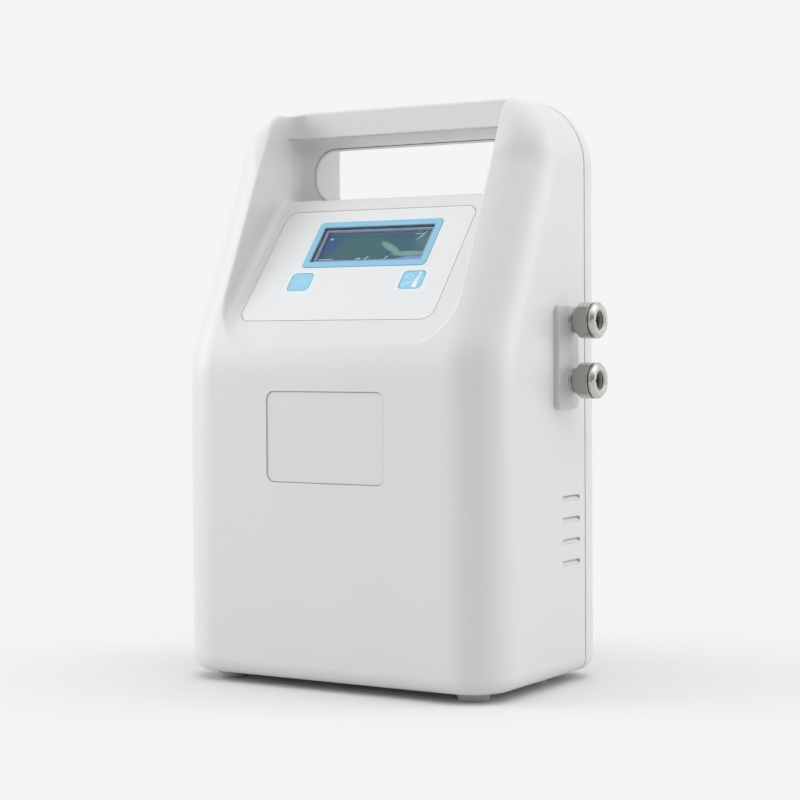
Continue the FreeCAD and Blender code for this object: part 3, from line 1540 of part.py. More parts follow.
def power_rocker():
    """Rocker with two faces that meet in a shallow V and a moulded pivot at each end."""
    start = Vector(inlet_x - rocker_width / 2 + rocker_gap, 0, 0)
    length = rocker_width - 2 * rocker_gap
    barrel = rod(start, x_axis, rocker_radius, length)
    slope = math.tan(math.radians(rocker_throw / 2))
    reach = 2 * rocker_radius
    outline = [(rocker_crest, 0), (rocker_crest + reach * slope, reach), (2 * reach, reach),
               (2 * reach, -reach), (rocker_crest + reach * slope, -reach)]
    above = polygon_prism([Vector(start.x - cut_past, y, z) for y, z in outline],
                          Vector(length + 2 * cut_past, 0, 0))
    pivot_length = rocker_width + 2 * rocker_pin_length - 2 * rocker_gap
    pivot = rod(Vector(inlet_x - pivot_length / 2, 0, 0), x_axis, rocker_pin_radius, pivot_length)
    rocker = joined(barrel.cut(above), [pivot])
    rocker.rotate(Vector(0, 0, 0), x_axis, -rocker_throw / 2)
    rocker.translate(Vector(0, rocker_axis_y, rocker_z))
    return rocker


def inlet_screws():
    grip = inlet_flange + wall + inlet_screw_past
    return together([machine_screw(Vector(x, inlet_face_y, inlet_z), -y_axis, grip) for x in screw_pair()])


save("inlet_housing", inlet_housing())
save("inlet_pins", inlet_pins())
save("fuse_drawer", fuse_drawer())
save("fuses", fuses())
save("power_rocker", power_rocker())
save("inlet_screws", inlet_screws())
print("inlet done")
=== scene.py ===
import json
import math

import bpy
import numpy as np
from mathutils import Matrix, Vector


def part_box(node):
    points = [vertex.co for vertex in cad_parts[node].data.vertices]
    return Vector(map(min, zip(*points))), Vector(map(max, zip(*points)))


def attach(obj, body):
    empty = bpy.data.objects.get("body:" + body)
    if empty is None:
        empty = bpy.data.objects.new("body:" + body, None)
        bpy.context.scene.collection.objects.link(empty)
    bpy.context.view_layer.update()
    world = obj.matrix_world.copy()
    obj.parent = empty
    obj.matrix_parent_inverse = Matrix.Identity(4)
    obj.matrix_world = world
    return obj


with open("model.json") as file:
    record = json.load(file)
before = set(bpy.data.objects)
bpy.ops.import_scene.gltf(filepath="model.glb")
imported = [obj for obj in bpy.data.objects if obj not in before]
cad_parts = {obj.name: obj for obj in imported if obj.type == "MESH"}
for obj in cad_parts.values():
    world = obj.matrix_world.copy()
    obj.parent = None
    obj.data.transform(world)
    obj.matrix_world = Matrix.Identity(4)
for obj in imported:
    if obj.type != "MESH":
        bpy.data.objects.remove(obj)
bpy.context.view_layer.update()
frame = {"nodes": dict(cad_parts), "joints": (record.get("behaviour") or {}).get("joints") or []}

nodes = frame["nodes"]
mm = 0.001
print("frame loaded:", len(nodes), "nodes")


def linearColour(code):
    # sRGB hex to the linear values that a socket takes
    parts = [int(code[i:i + 2], 16) / 255 for i in (1, 3, 5)]
    return tuple(p / 12.92 if p <= 0.04045 else ((p + 0.055) / 1.055) ** 2.4 for p in parts) + (1.0,)


def addNode(tree, kind, inputs=None, links=None, **settings):
    node = tree.nodes.new(kind)
    for name, value in settings.items():
        setattr(node, name, value)
    for name, value in (inputs or {}).items():
        node.inputs[name].default_value = value
    for name, source in (links or {}).items():
        tree.links.new(source, node.inputs[name])
    return node


def startMaterial(name):
    material = bpy.data.materials.new(name)
    material.use_nodes = True
    tree = material.node_tree
    tree.nodes.clear()
    surface = addNode(tree, "ShaderNodeBsdfPrincipled")
    addNode(tree, "ShaderNodeOutputMaterial", links={"Surface": surface.outputs["BSDF"]})
    place = addNode(tree, "ShaderNodeTexCoord").outputs["Object"]
    return material, tree, surface, place


def mixColour(tree, share, first, second):
    # first where share is 0, second where it is 1; each is a hex code or a socket
    node = addNode(tree, "ShaderNodeMix", data_type="RGBA")
    tree.links.new(share, node.inputs[0])
    for index, colour in ((6, first), (7, second)):
        if isinstance(colour, str):
            node.inputs[index].default_value = linearColour(colour)
        else:
            tree.links.new(colour, node.inputs[index])
    return node.outputs[2]


def skipEdge(tree, place, softNormal, look):
    # keeps the soft edge off a level where two pieces of one moulding meet
    if "level" not in look:
        return softNormal
    height = addNode(tree, "ShaderNodeSeparateXYZ", links={"Vector": place}).outputs["Z"]
    near = addNode(tree, "ShaderNodeMath", operation="COMPARE", links={0: height},
                   inputs={1: look["level"], 2: 3 * look["edge"] * mm}).outputs["Value"]
    plain = addNode(tree, "ShaderNodeNewGeometry").outputs["Normal"]
    pick = addNode(tree, "ShaderNodeMix", data_type="VECTOR")
    for index, source in ((0, near), (4, softNormal), (5, plain)):
        tree.links.new(source, pick.inputs[index])
    return pick.outputs[1]


def makeFinish(name, look):
    # A plain finish: two close shades in soft patches, a roughness that follows them,
    # a fine grain as bump and edges rounded in the shading.
    # Sizes are in mm: patch and grain are the widths of their features, relief is the grain's height.
    # bands = (axis, pitch, depth, hex) adds turned, laminated or wound lines across one axis.
    # level is a height, in metres, at which no edge is rounded.
    material, tree, surface, place = startMaterial(name)
    stretch = addNode(tree, "ShaderNodeMapping", links={"Vector": place},
                      inputs={"Scale": look.get("stretch", (1, 1, 1))}).outputs["Vector"]
    patches = addNode(tree, "ShaderNodeTexNoise", links={"Vector": stretch},
                      inputs={"Scale": 1 / (look["patch"] * mm), "Detail": 3.0}).outputs["Fac"]
    shade = mixColour(tree, patches, look["colour"], look["shade"])
    low, high = look["rough"]
    rough = addNode(tree, "ShaderNodeMapRange", links={"Value": patches},
                    inputs={"From Min": 0.3, "From Max": 0.7, "To Min": low, "To Max": high})
    grain = addNode(tree, "ShaderNodeTexNoise", links={"Vector": stretch},
                    inputs={"Scale": 1 / (look["grain"] * mm), "Detail": 2.0}).outputs["Fac"]
    normal = addNode(tree, "ShaderNodeBump", links={"Height": grain},
                     inputs={"Strength": 1.0, "Distance": look["relief"] * mm})
    if "edge" in look:
        soft = addNode(tree, "ShaderNodeBevel", inputs={"Radius": look["edge"] * mm}, samples=4)
        tree.links.new(skipEdge(tree, place, soft.outputs["Normal"], look), normal.inputs["Normal"])
    if "bands" in look:
        axis, pitch, depth, dark = look["bands"]
        wave = addNode(tree, "ShaderNodeTexWave", links={"Vector": place}, bands_direction=axis,
                       inputs={"Scale": math.pi / 10 / (pitch * mm), "Distortion": 0.0}).outputs["Fac"]
        shade = mixColour(tree, wave, dark, shade)
        normal = addNode(tree, "ShaderNodeBump", links={"Height": wave, "Normal": normal.outputs["Normal"]},
                         inputs={"Strength": 1.0, "Distance": depth * mm})
    tree.links.new(shade, surface.inputs["Base Color"])
    tree.links.new(rough.outputs["Result"], surface.inputs["Roughness"])
    tree.links.new(normal.outputs["Normal"], surface.inputs["Normal"])
    for socket, value in look.get("sockets", {}).items():
        surface.inputs[socket].default_value = value
    return material


def dress(material, *names):
    for name in names:
        nodes[name].data.materials.clear()
        nodes[name].data.materials.append(material)


# Finishes of the carried-over pieces. Each entry names its nodes beside its settings.
finishes = {
    # white ABS moulded in a lightly sparked tool: satin, with a faint ripple like orange peel
    "mouldedAbs": dict(
        nodes=("front_shell", "handle_crown", "rear_cover"),
        colour="#E2E2E2", shade="#DEDEDE", patch=45, rough=(0.33, 0.39), grain=1.4, relief=0.004, edge=0.5,
        level=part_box("handle_crown")[0].z),
    # the same white ABS, painted greyer for the plate under the air ports: painted shade standing in for
    # the couplings' shadow on it
    "plateAbsPaintedShade": dict(
        nodes=("port_plate",), colour="#CDCDCD", shade="#C7C7C7", patch=14, rough=(0.36, 0.42), grain=1.2,
        relief=0.004, edge=0.5),
    # printed label of warm white vinyl under a matt laminate, left bare
    "laminatedVinyl": dict(
        nodes=("badge_plate",), colour="#DFE0DF", shade="#DCDDDC", patch=12, rough=(0.42, 0.5),
        grain=0.7, relief=0.002, edge=0.2),
    # thermoplastic rubber of the feet: grey, dull, finely pitted
    "footRubber": dict(
        nodes=("foot_front_left", "foot_front_right", "foot_rear_left", "foot_rear_right"),
        colour="#C4C6C8", shade="#B8BABC", patch=4, rough=(0.62, 0.74), grain=0.5, relief=0.02, edge=0.3),
    # nitrile rubber of the grommets and diaphragms: near black, slightly bloomed
    "nitrileRubber": dict(
        nodes=("pump_grommets", "diaphragm_left", "diaphragm_right"),
        colour="#1B1C1D", shade="#27282A", patch=3, rough=(0.55, 0.7), grain=0.4, relief=0.015, edge=0.2),
    # glass-filled nylon of the power inlet: black, satin, with a fine moulded grain
    "filledNylon": dict(
        nodes=("inlet_housing", "fuse_drawer"), colour="#1A1B1D", shade="#222326", patch=6,
        rough=(0.38, 0.5), grain=0.45, relief=0.012, edge=0.25),
    # polished polycarbonate of the rocker: black and glossy
    "polishedRocker": dict(
        nodes=("power_rocker",), colour="#0E0F11", shade="#131416", patch=9, rough=(0.12, 0.18),
        grain=2.0, relief=0.002, edge=0.3, sockets={"IOR": 1.58}),
    # turned brass: yellow, with fine lines from the tool
    "turnedBrass": dict(
        nodes=("port_nuts", "inlet_pins"), colour="#C9A25B", shade="#B98F47", patch=3, rough=(0.22, 0.34),
        grain=0.4, relief=0.003, edge=0.15, bands=("X", 0.35, 0.002, "#B08840"), sockets={"Metallic": 1.0}),
    # zinc-plated screws: pale, slightly blue, soft lustre
    "zincPlate": dict(
        nodes=("case_screws", "foot_screws", "display_screws", "chassis_screws", "board_screws",
               "inlet_screws"),
        colour="#BFC4CA", shade="#A9AFB6", patch=1.5, rough=(0.24, 0.36), grain=0.3, relief=0.004, edge=0.1,
        sockets={"Metallic": 1.0}),
    # cold-rolled steel sheet with zinc: grey, drawn lengthways
    "rolledSteel": dict(
        nodes=("chassis", "valve_plunger_upper", "valve_plunger_lower", "armature_magnets"),
        colour="#A8ACB0", shade="#979CA1", patch=14, rough=(0.3, 0.42), grain=0.5, relief=0.004, edge=0.2,
        stretch=(0.15, 1, 1), sockets={"Metallic": 1.0}),
    # black oxide steel of the display's frame: dull, faintly blue
    "blackedSteel": dict(
        nodes=("display_module_frame",), colour="#2B3440", shade="#232B36", patch=6, rough=(0.4, 0.5),
        grain=0.6, relief=0.003, edge=0.15),
    # stacked silicon steel: dark grey sheets of half a millimetre
    "stackedLaminations": dict(
        nodes=("pump_cores",), colour="#6E7276", shade="#5F6367", patch=5, rough=(0.4, 0.55), grain=0.4,
        relief=0.006, bands=("Y", 0.5, 0.04, "#3A3C3F"), sockets={"Metallic": 1.0}),
    # sand-blasted cast aluminium: light grey, matt
    "castAluminium": dict(
        nodes=("pump_frame", "pump_head_left", "pump_head_right"), colour="#B4B6B8", shade="#A3A6A9",
        patch=6, rough=(0.45, 0.6), grain=0.5, relief=0.03, edge=0.4, sockets={"Metallic": 1.0}),
    # enamelled copper wire in neat layers, 0.4 mm drawn as 0.5 mm
    "woundCopper": dict(
        nodes=("pump_coils",), colour="#B4622E", shade="#A25324", patch=3, rough=(0.25, 0.35), grain=0.6,
        relief=0.004, bands=("Z", 0.5, 0.12, "#5A2A12"), sockets={"Metallic": 1.0, "Coat Weight": 0.5}),
    # epoxy board under green solder mask: glossy, with the copper's relief under it
    "solderMask": dict(
        nodes=("display_board", "main_board", "supply_board"), colour="#1D6B3F", shade="#124F2C",
        patch=2.2, rough=(0.2, 0.32), grain=0.9, relief=0.02, edge=0.1),
    # moulded epoxy of chips, relays and coils: black, matt
    "mouldedEpoxy": dict(
        nodes=("main_board_parts", "supply_board_parts", "valve_body_lower", "valve_body_upper",
               "switch_body_left", "switch_body_right"),
        colour="#202124", shade="#2A2B2E", patch=3, rough=(0.5, 0.65), grain=0.3, relief=0.01, edge=0.15),
    # natural acetal of the manifold and the armature: milky, waxy
    "naturalAcetal": dict(
        nodes=("manifold", "armature", "switch_plunger_left", "switch_plunger_right"),
        colour="#DAD8D0", shade="#D0CEC5", patch=8, rough=(0.32, 0.42), grain=0.8, relief=0.006, edge=0.3,
        sockets={"Subsurface Weight": 0.15, "Subsurface Scale": 0.002}),
    # silicone hose and seals: cloudy, pale grey, soft
    "siliconeRubber": dict(
        nodes=("pump_hoses", "port_hoses", "port_seals"), colour="#D6D6D3", shade="#CDCDC9",
        patch=7, rough=(0.35, 0.5), grain=1.2, relief=0.01,
        sockets={"Subsurface Weight": 0.1, "Subsurface Scale": 0.001}),
    # glass tube of the fuses with a dusty sheen
    "fuseGlass": dict(
        nodes=("fuses",), colour="#C8D0CE", shade="#B6C0BE", patch=3, rough=(0.06, 0.12), grain=1.0,
        relief=0.002, sockets={"IOR": 1.5}),
    # front polariser of the display module: dark, smooth, slightly green
    "polariserFilm": dict(
        nodes=("display_glass",), colour="#3E5350", shade="#36494A", patch=14, rough=(0.12, 0.18),
        grain=1.5, relief=0.001, edge=0.1),
    # display border printed on film: light blue, satin
    "blueFilm": dict(
        nodes=("display_bezel",), colour="#93C6E1", shade="#88BFDC", patch=9, rough=(0.3, 0.38), grain=0.6,
        relief=0.002, edge=0.15),
    # silicone key tops in translucent sky blue: soft edges, satin
    "blueKeySilicone": dict(
        nodes=("key_left", "key_right"), colour="#9AD1EA", shade="#8FCAE6", patch=5, rough=(0.34, 0.44),
        grain=0.5, relief=0.004, edge=0.5, sockets={"Subsurface Weight": 0.2, "Subsurface Scale": 0.0015}),
}
for name, look in finishes.items():
    dress(makeFinish(name, look), *look["nodes"])
print("plain finishes done")

# The panel's own axes: out of it against the keys' travel, across it along X, and up its slope.
pressAxis = next(joint["axis"] for joint in frame["joints"] if joint["name"] == "key_left_press")
panelOut = -Vector(pressAxis).normalized()
panelAcross = Vector((1, 0, 0))
panelUp = panelOut.cross(panelAcross)
lensLow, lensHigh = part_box("display_lens")
panelMiddle = (lensLow + lensHigh) / 2
panelTilt = math.atan2(panelUp.z, panelUp.y)


def pointsOf(name):
    # a node's points as an array of places, in metres
    mesh = nodes[name].data
    flat = np.empty(len(mesh.vertices) * 3)
    mesh.vertices.foreach_get("co", flat)
    return flat.reshape(-1, 3)


def onPanel(name):
    # a node's points as distances across, up and out of the panel from the window's middle
    away = pointsOf(name) - np.array(panelMiddle)
    return away @ np.array([panelAcross, panelUp, panelOut]).T


def makeOverlayFilm(look):
    # Polyester film with a fine hard coat: cool white, satin. A pale halo of printed ink
    # surrounds the blue border and the keys: its strength falls with the distance from
    # each rounded box, worked out in the panel's own coordinates.
    material, tree, surface, place = startMaterial("polyesterFilm")
    local = addNode(tree, "ShaderNodeMapping", vector_type="TEXTURE", links={"Vector": place},
                    inputs={"Location": panelMiddle, "Rotation": (panelTilt, 0, 0)}).outputs["Vector"]
    patches = addNode(tree, "ShaderNodeTexNoise", links={"Vector": local},
                      inputs={"Scale": 1 / (look["patch"] * mm), "Detail": 2.0}).outputs["Fac"]
    shade = mixColour(tree, patches, look["colour"], look["shade"])
    for name in ("display_bezel", "key_left", "key_right"):
        spread = onPanel(name)
        low, high = spread.min(0), spread.max(0)
        shifted = addNode(tree, "ShaderNodeVectorMath", operation="SUBTRACT", links={0: local},
                          inputs={1: ((low[0] + high[0]) / 2, (low[1] + high[1]) / 2, 0)})
        folded = addNode(tree, "ShaderNodeVectorMath", operation="ABSOLUTE",
                         links={0: shifted.outputs["Vector"]})
        past = addNode(tree, "ShaderNodeVectorMath", operation="SUBTRACT",
                       links={0: folded.outputs["Vector"]},
                       inputs={1: ((high[0] - low[0]) / 2, (high[1] - low[1]) / 2, 1)})
        outside = addNode(tree, "ShaderNodeVectorMath", operation="MAXIMUM",
                          links={0: past.outputs["Vector"]})
        far = addNode(tree, "ShaderNodeVectorMath", operation="LENGTH",
                      links={0: outside.outputs["Vector"]}).outputs["Value"]
        glow = addNode(tree, "ShaderNodeMapRange", interpolation_type="SMOOTHSTEP", links={"Value": far},
                       inputs={"From Min": 0.0, "From Max": look["halo"] * mm,
                               "To Min": look["haloShare"], "To Max": 0.0}).outputs["Result"]
        shade = mixColour(tree, glow, shade, look["haloColour"])
    grain = addNode(tree, "ShaderNodeTexNoise", links={"Vector": local},
                    inputs={"Scale": 1 / (look["grain"] * mm), "Detail": 2.0}).outputs["Fac"]
    soft = addNode(tree, "ShaderNodeBevel", inputs={"Radius": look["edge"] * mm}, samples=4)
    bump = addNode(tree, "ShaderNodeBump", links={"Height": grain, "Normal": soft.outputs["Normal"]},
                   inputs={"Strength": 1.0, "Distance": look["relief"] * mm})
    tree.links.new(shade, surface.inputs["Base Color"])
    tree.links.new(bump.outputs["Normal"], surface.inputs["Normal"])
    surface.inputs["Roughness"].default_value = look["rough"]
    return material


overlayLook = dict(colour="#E6E8E9", shade="#E3E5E6", patch=30, grain=0.5, relief=0.002, rough=0.33,
                   edge=0.2, halo=2.0, haloShare=0.45, haloColour="#DCF3FC")
dress(makeOverlayFilm(overlayLook), "control_overlay")


def makeLens(look):
    # Clear polycarbonate with an anti-glare coat: mostly see-through, with faint wipe marks in
    # its gloss. The low index stands for the coat.
    material, tree, surface, place = startMaterial("clearPolycarbonate")
    wipes = addNode(tree, "ShaderNodeMapping", links={"Vector": place},
                    inputs={"Scale": look["stretch"], "Rotation": (0, 0, look["turn"])}).outputs["Vector"]
    noise = addNode(tree, "ShaderNodeTexNoise", links={"Vector": wipes},
                    inputs={"Scale": 1 / (look["wipe"] * mm), "Detail": 3.0}).outputs["Fac"]
    rough = addNode(tree, "ShaderNodeMapRange", links={"Value": noise},
                    inputs={"To Min": look["rough"][0], "To Max": look["rough"][1]})
    tree.links.new(rough.outputs["Result"], surface.inputs["Roughness"])
    surface.inputs["Base Color"].default_value = linearColour(look["colour"])
    surface.inputs["Transmission Weight"].default_value = 1.0
    surface.inputs["IOR"].default_value = look["ior"]
    return material


lensLook = dict(colour="#F6F9FA", wipe=2.0, stretch=(0.25, 1, 1), turn=0.5, rough=(0.0, 0.02), ior=1.25)
dress(makeLens(lensLook), "display_lens")


def makeNickel(name, look):
    # Turned brass under satin nickel: pale, with fine rings from the lathe across X.
    # The two milled flats of each body are rougher, and painted darker than the turned metal:
    # painted reflection of darker surroundings. A mask picks the faces that look along Y. The bore
    # is lined with acetal, pale at the mouth and painted dark further in as painted shade of the
    # deep bore: its mask is the distance from the nearer of the two ports' axes, which lie one over
    # the other.
    material, tree, surface, place = startMaterial(name)
    cloud = addNode(tree, "ShaderNodeTexNoise", links={"Vector": place},
                    inputs={"Scale": 1 / (look["patch"] * mm), "Detail": 3.0}).outputs["Fac"]
    shade = mixColour(tree, cloud, look["colour"], look["shade"])
    rings = addNode(tree, "ShaderNodeTexWave", links={"Vector": place}, bands_direction="X",
                    inputs={"Scale": math.pi / 10 / (look["pitch"] * mm),
                            "Distortion": look["wobble"], "Detail": 1.0}).outputs["Fac"]
    soft = addNode(tree, "ShaderNodeBevel", inputs={"Radius": look["edge"] * mm}, samples=4)
    bump = addNode(tree, "ShaderNodeBump", links={"Height": rings, "Normal": soft.outputs["Normal"]},
                   inputs={"Strength": 1.0, "Distance": look["relief"] * mm})
    facing = addNode(tree, "ShaderNodeNewGeometry").outputs["Normal"]
    along = addNode(tree, "ShaderNodeSeparateXYZ", links={"Vector": facing}).outputs["Y"]
    sideways = addNode(tree, "ShaderNodeMath", operation="ABSOLUTE", links={0: along}).outputs["Value"]
    flat = addNode(tree, "ShaderNodeMath", operation="GREATER_THAN", links={0: sideways},
                   inputs={1: look["flatFacing"]}).outputs["Value"]
    # the flats painted darker: painted reflection of darker surroundings
    shade = mixColour(tree, flat, shade, look["flatPaintedShade"])
    rough = addNode(tree, "ShaderNodeMapRange", links={"Value": flat},
                    inputs={"To Min": look["rough"], "To Max": look["flatRough"]})
    upper, lower = (sum(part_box("coupling_body_" + side), Vector()) / 2 for side in ("upper", "lower"))
    between = addNode(tree, "ShaderNodeVectorMath", operation="SUBTRACT", links={0: place},
                      inputs={1: (upper + lower) / 2})
    folded = addNode(tree, "ShaderNodeVectorMath", operation="ABSOLUTE",
                     links={0: between.outputs["Vector"]})
    centred = addNode(tree, "ShaderNodeVectorMath", operation="SUBTRACT",
                      links={0: folded.outputs["Vector"]}, inputs={1: (0, 0, (upper.z - lower.z) / 2)})
    flattened = addNode(tree, "ShaderNodeVectorMath", operation="MULTIPLY",
                        links={0: centred.outputs["Vector"]}, inputs={1: (0, 1, 1)})
    away = addNode(tree, "ShaderNodeVectorMath", operation="LENGTH",
                   links={0: flattened.outputs["Vector"]})
    lining = addNode(tree, "ShaderNodeMath", operation="LESS_THAN", links={0: away.outputs["Value"]},
                     inputs={1: look["liningRadius"] * mm}).outputs["Value"]
    metal = addNode(tree, "ShaderNodeMath", operation="SUBTRACT", links={1: lining}, inputs={0: 1.0})
    inward = addNode(tree, "ShaderNodeSeparateXYZ", links={"Vector": place}).outputs["X"]
    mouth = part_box("release_collar_upper")[1].x
    near, deep = look["liningFade"]
    entry = addNode(tree, "ShaderNodeMapRange", links={"Value": inward},
                    inputs={"From Min": mouth - deep * mm, "From Max": mouth - near * mm}).outputs["Result"]
    # the lining painted dark further into the bore: painted shade of the deep bore
    liningShade = mixColour(tree, entry, look["liningPaintedShade"], look["liningColour"])
    tree.links.new(mixColour(tree, lining, shade, liningShade), surface.inputs["Base Color"])
    tree.links.new(metal.outputs["Value"], surface.inputs["Metallic"])
    tree.links.new(rough.outputs["Result"], surface.inputs["Roughness"])
    tree.links.new(bump.outputs["Normal"], surface.inputs["Normal"])
    return material


nickelLook = dict(
    colour="#C9C8C5", shade="#BFBEBB", patch=3, pitch=0.3, wobble=0.6, relief=0.003, edge=0.2, rough=0.33,
    # the flats' colour is painted darker than the turned metal: painted reflection of darker surroundings
    flatPaintedShade="#A9A8A4", flatRough=0.42, flatFacing=0.999,
    # the lining's deeper colour is painted shade of the bore
    liningRadius=4.9, liningColour="#E2E2DF", liningPaintedShade="#1E1E1D", liningFade=(0.8, 4.5))
dress(makeNickel("satinNickel", nickelLook), "coupling_body_upper", "coupling_body_lower",
      "release_collar_upper", "release_collar_lower")
print("panel, lens and couplings finished")


def newPiece(name, points, faces, body, material, places=None):
    # a mesh from whole arrays, riding on a body; places are the UV values of its points
    mesh = bpy.data.meshes.new(name)
    mesh.from_pydata(points.tolist(), [], faces.tolist())
    if places is not None:
        corners = np.empty(len(mesh.loops), dtype=np.int32)
        mesh.loops.foreach_get("vertex_index", corners)
        mesh.uv_layers.new(name="UVMap").data.foreach_set("uv", places[corners].astype(np.float32).ravel())
    mesh.materials.append(material)
    piece = bpy.data.objects.new(name, mesh)
    bpy.context.scene.collection.objects.link(piece)
    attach(piece, body)
    return piece


def gridFaces(rows, columns):
    # quads of a grid of points that is numbered row by row
    i, j = np.meshgrid(np.arange(rows - 1), np.arange(columns - 1), indexing="ij")
    a = (i * columns + j).ravel()
    return np.stack([a, a + 1, a + columns + 1, a + columns], -1)


# The picture on the display: what an unlit graphic display shows from the side. Places and
# sizes are in mm from its lower left corner.
pictureLook = dict(
    lift=0.05, cells=(64, 24), uvSpan=100, rough=0.3, gloss=0.1, base="#325F72",
    spots=[
        # hex, middle, half sizes, turn in degrees, strength
        ("#386A6B", (24.7, 11.9), (18, 11), 0, 2.0),
        ("#36607A", (47.0, 17.3), (12, 7), 0, 1.4),
        ("#547B84", (56.5, 16.0), (6, 9), 0, 1.2),
        ("#2C5588", (5.0, 17.0), (8, 9.5), 0, 1.9),
        ("#65879F", (26.5, 25.0), (60, 6.0), 0, 2.6),
        ("#7BA5A0", (40.5, 11.6), (8.0, 2.0), -30, 3.0),
        ("#7BA5A0", (52.0, 7.6), (11.0, 1.8), 0, 3.0),
        ("#44707A", (27.0, 3.4), (60.0, 2.4), 0, 1.6),
        ("#84A2D2", (55.4, 3.9), (10.5, 2.5), 0, 3.2),
    ])


def makePicture(look):
    # Soft coloured spots over one another: each is a spherical gradient that a Mapping node
    # places, turns and stretches on the picture's own UV map, where 1 stands for uvSpan.
    material, tree, surface, _ = startMaterial("displayPicture")
    flat = addNode(tree, "ShaderNodeUVMap", uv_map="UVMap").outputs["UV"]
    span = look["uvSpan"]
    shade = look["base"]
    for colour, middle, half, turn, strength in look["spots"]:
        local = addNode(tree, "ShaderNodeMapping", vector_type="TEXTURE", links={"Vector": flat},
                        inputs={"Location": (middle[0] / span, middle[1] / span, 0),
                                "Rotation": (0, 0, math.radians(turn)),
                                "Scale": (half[0] / span, half[1] / span, 1)}).outputs["Vector"]
        ball = addNode(tree, "ShaderNodeTexGradient", links={"Vector": local},
                       gradient_type="SPHERICAL").outputs["Fac"]
        share = addNode(tree, "ShaderNodeMath", operation="MULTIPLY", use_clamp=True, links={0: ball},
                        inputs={1: strength}).outputs["Value"]
        shade = mixColour(tree, share, shade, colour)
    tree.links.new(shade, surface.inputs["Base Color"])
    surface.inputs["Roughness"].default_value = look["rough"]
    surface.inputs["Specular IOR Level"].default_value = look["gloss"]
    return material


glass = onPanel("display_glass")
across = np.linspace(glass[:, 0].min(), glass[:, 0].max(), pictureLook["cells"][0])
along = np.linspace(glass[:, 1].min(), glass[:, 1].max(), pictureLook["cells"][1])
pictureHeight = glass[:, 2].max() + pictureLook["lift"] * mm


def placeOnPanel(flat, height):
    # points in the panel's plane, given across and up in metres, lifted out of it
    rise = np.broadcast_to(height, flat.shape[:-1])
    return (np.array(panelMiddle) + flat[..., :1] * np.array(panelAcross)
            + flat[..., 1:2] * np.array(panelUp) + rise[..., None] * np.array(panelOut))


cells = np.stack(np.meshgrid(across, along), -1).reshape(-1, 2)
newPiece("display_picture", placeOnPanel(cells, pictureHeight), gridFaces(len(along), len(across)),
         "housing", makePicture(pictureLook),
         (cells - cells.min(0)) / (pictureLook["uvSpan"] * mm))
print("display picture done")


def inkLine(path, width, height, closed=False):
    # A low ridge of ink: a flat profile, width wide and height high, carried along a path.
    # The path's sideways direction is its tangent turned by a quarter.
    path = np.asarray(path, float)
    before = np.roll(path, 1, 0) if closed else np.vstack([path[:1], path[:-1]])
    after = np.roll(path, -1, 0) if closed else np.vstack([path[1:], path[-1:]])
    tangent = after - before
    tangent /= np.linalg.norm(tangent, axis=1, keepdims=True)
    sideways = np.stack([-tangent[:, 1], tangent[:, 0]], -1) * width / 2
    rows = np.stack([path - sideways, path + sideways, path + sideways, path - sideways], 1)
    heights = np.tile([0, 0, height, height], (len(path), 1))
    count = len(path)
    ring = np.arange(4)
    start = np.arange(count if closed else count - 1)[:, None] * 4
    following = (start + 4) % (count * 4)
    turn = (ring + 1) % 4
    faces = np.stack([start + ring, start + turn, following + turn, following + ring], -1).reshape(-1, 4)
    if not closed:
        faces = np.vstack([faces, [[3, 2, 1, 0], count * 4 - 4 + np.array([0, 1, 2, 3])]])
    return rows.reshape(-1, 2), heights.ravel(), faces


def inkMarks(name, lines, place, body, material):
    # several ink lines as one piece; place(flat, height) puts them on their surface
    points, faces, count = [], [], 0
    for line in lines:
        flat, rise, quads = inkLine(*line)
        points.append(place(flat, rise))
        faces.append(quads + count)
        count += len(flat)
    return newPiece(name, np.vstack(points), np.vstack(faces), body, material)


def ovalPath(middle, half, steps=40):
    # an ellipse: its points go round at even angles, by cosine across and sine up
    angle = np.linspace(0, 2 * math.pi, steps, endpoint=False)
    return np.array(middle) + np.stack([np.cos(angle) * half[0], np.sin(angle) * half[1]], -1)


def keyPlace(name, topBand=0.1, lift=0.005):
    # places flat points from the middle of a key's top, which is what lies within topBand of
    # its highest point
    spread = onPanel(name)
    height = spread[:, 2].max()
    top = spread[spread[:, 2] > height - topBand * mm]
    middle = (top.min(0) + top.max(0))[:2] / 2
    return lambda flat, rise: placeOnPanel(flat + middle, height + lift * mm + rise)


# Segments of the display that catch the light: strokes in mm from the picture's lower left corner.
segmentLook = dict(
    height=0.02, lift=0.01,
    strokes=[
        # points, width
        ([(2.1, 3.0), (2.1, 22.6)], 0.45), ([(13.9, 22.9), (16.6, 23.1)], 0.7),
        ([(53.0, 22.6), (57.6, 21.8)], 0.5), ([(57.2, 21.2), (53.9, 16.8)], 0.55),
        ([(50.9, 19.6), (55.6, 19.2)], 0.45), ([(51.6, 21.1), (54.4, 20.9)], 0.35),
        ([(55.9, 18.6), (52.8, 15.9)], 0.35), ([(51.5, 22.9), (52.6, 22.0)], 0.5),
        ([(24.0, 5.1), (26.6, 5.2)], 0.8), ([(28.8, 4.6), (30.6, 6.4)], 0.7),
        ([(39.6, 4.8), (41.2, 6.2)], 0.6), ([(5.0, 17.6), (6.8, 17.8)], 1.0),
        ([(3.4, 5.2), (11.5, 5.0)], 0.5)],
    finish=dict(colour="#C4D4E0", shade="#B4C8D6", patch=2, rough=(0.4, 0.5), grain=0.4, relief=0.001))
corner = cells.min(0)
strokes = [(np.array(points) * mm, width * mm, segmentLook["height"] * mm)
           for points, width in segmentLook["strokes"]]
inkMarks("display_segments", strokes,
         lambda flat, rise: placeOnPanel(flat + corner, pictureHeight + segmentLook["lift"] * mm + rise),
         "housing", makeFinish("paleSegments", segmentLook["finish"]))
print("display segments done")

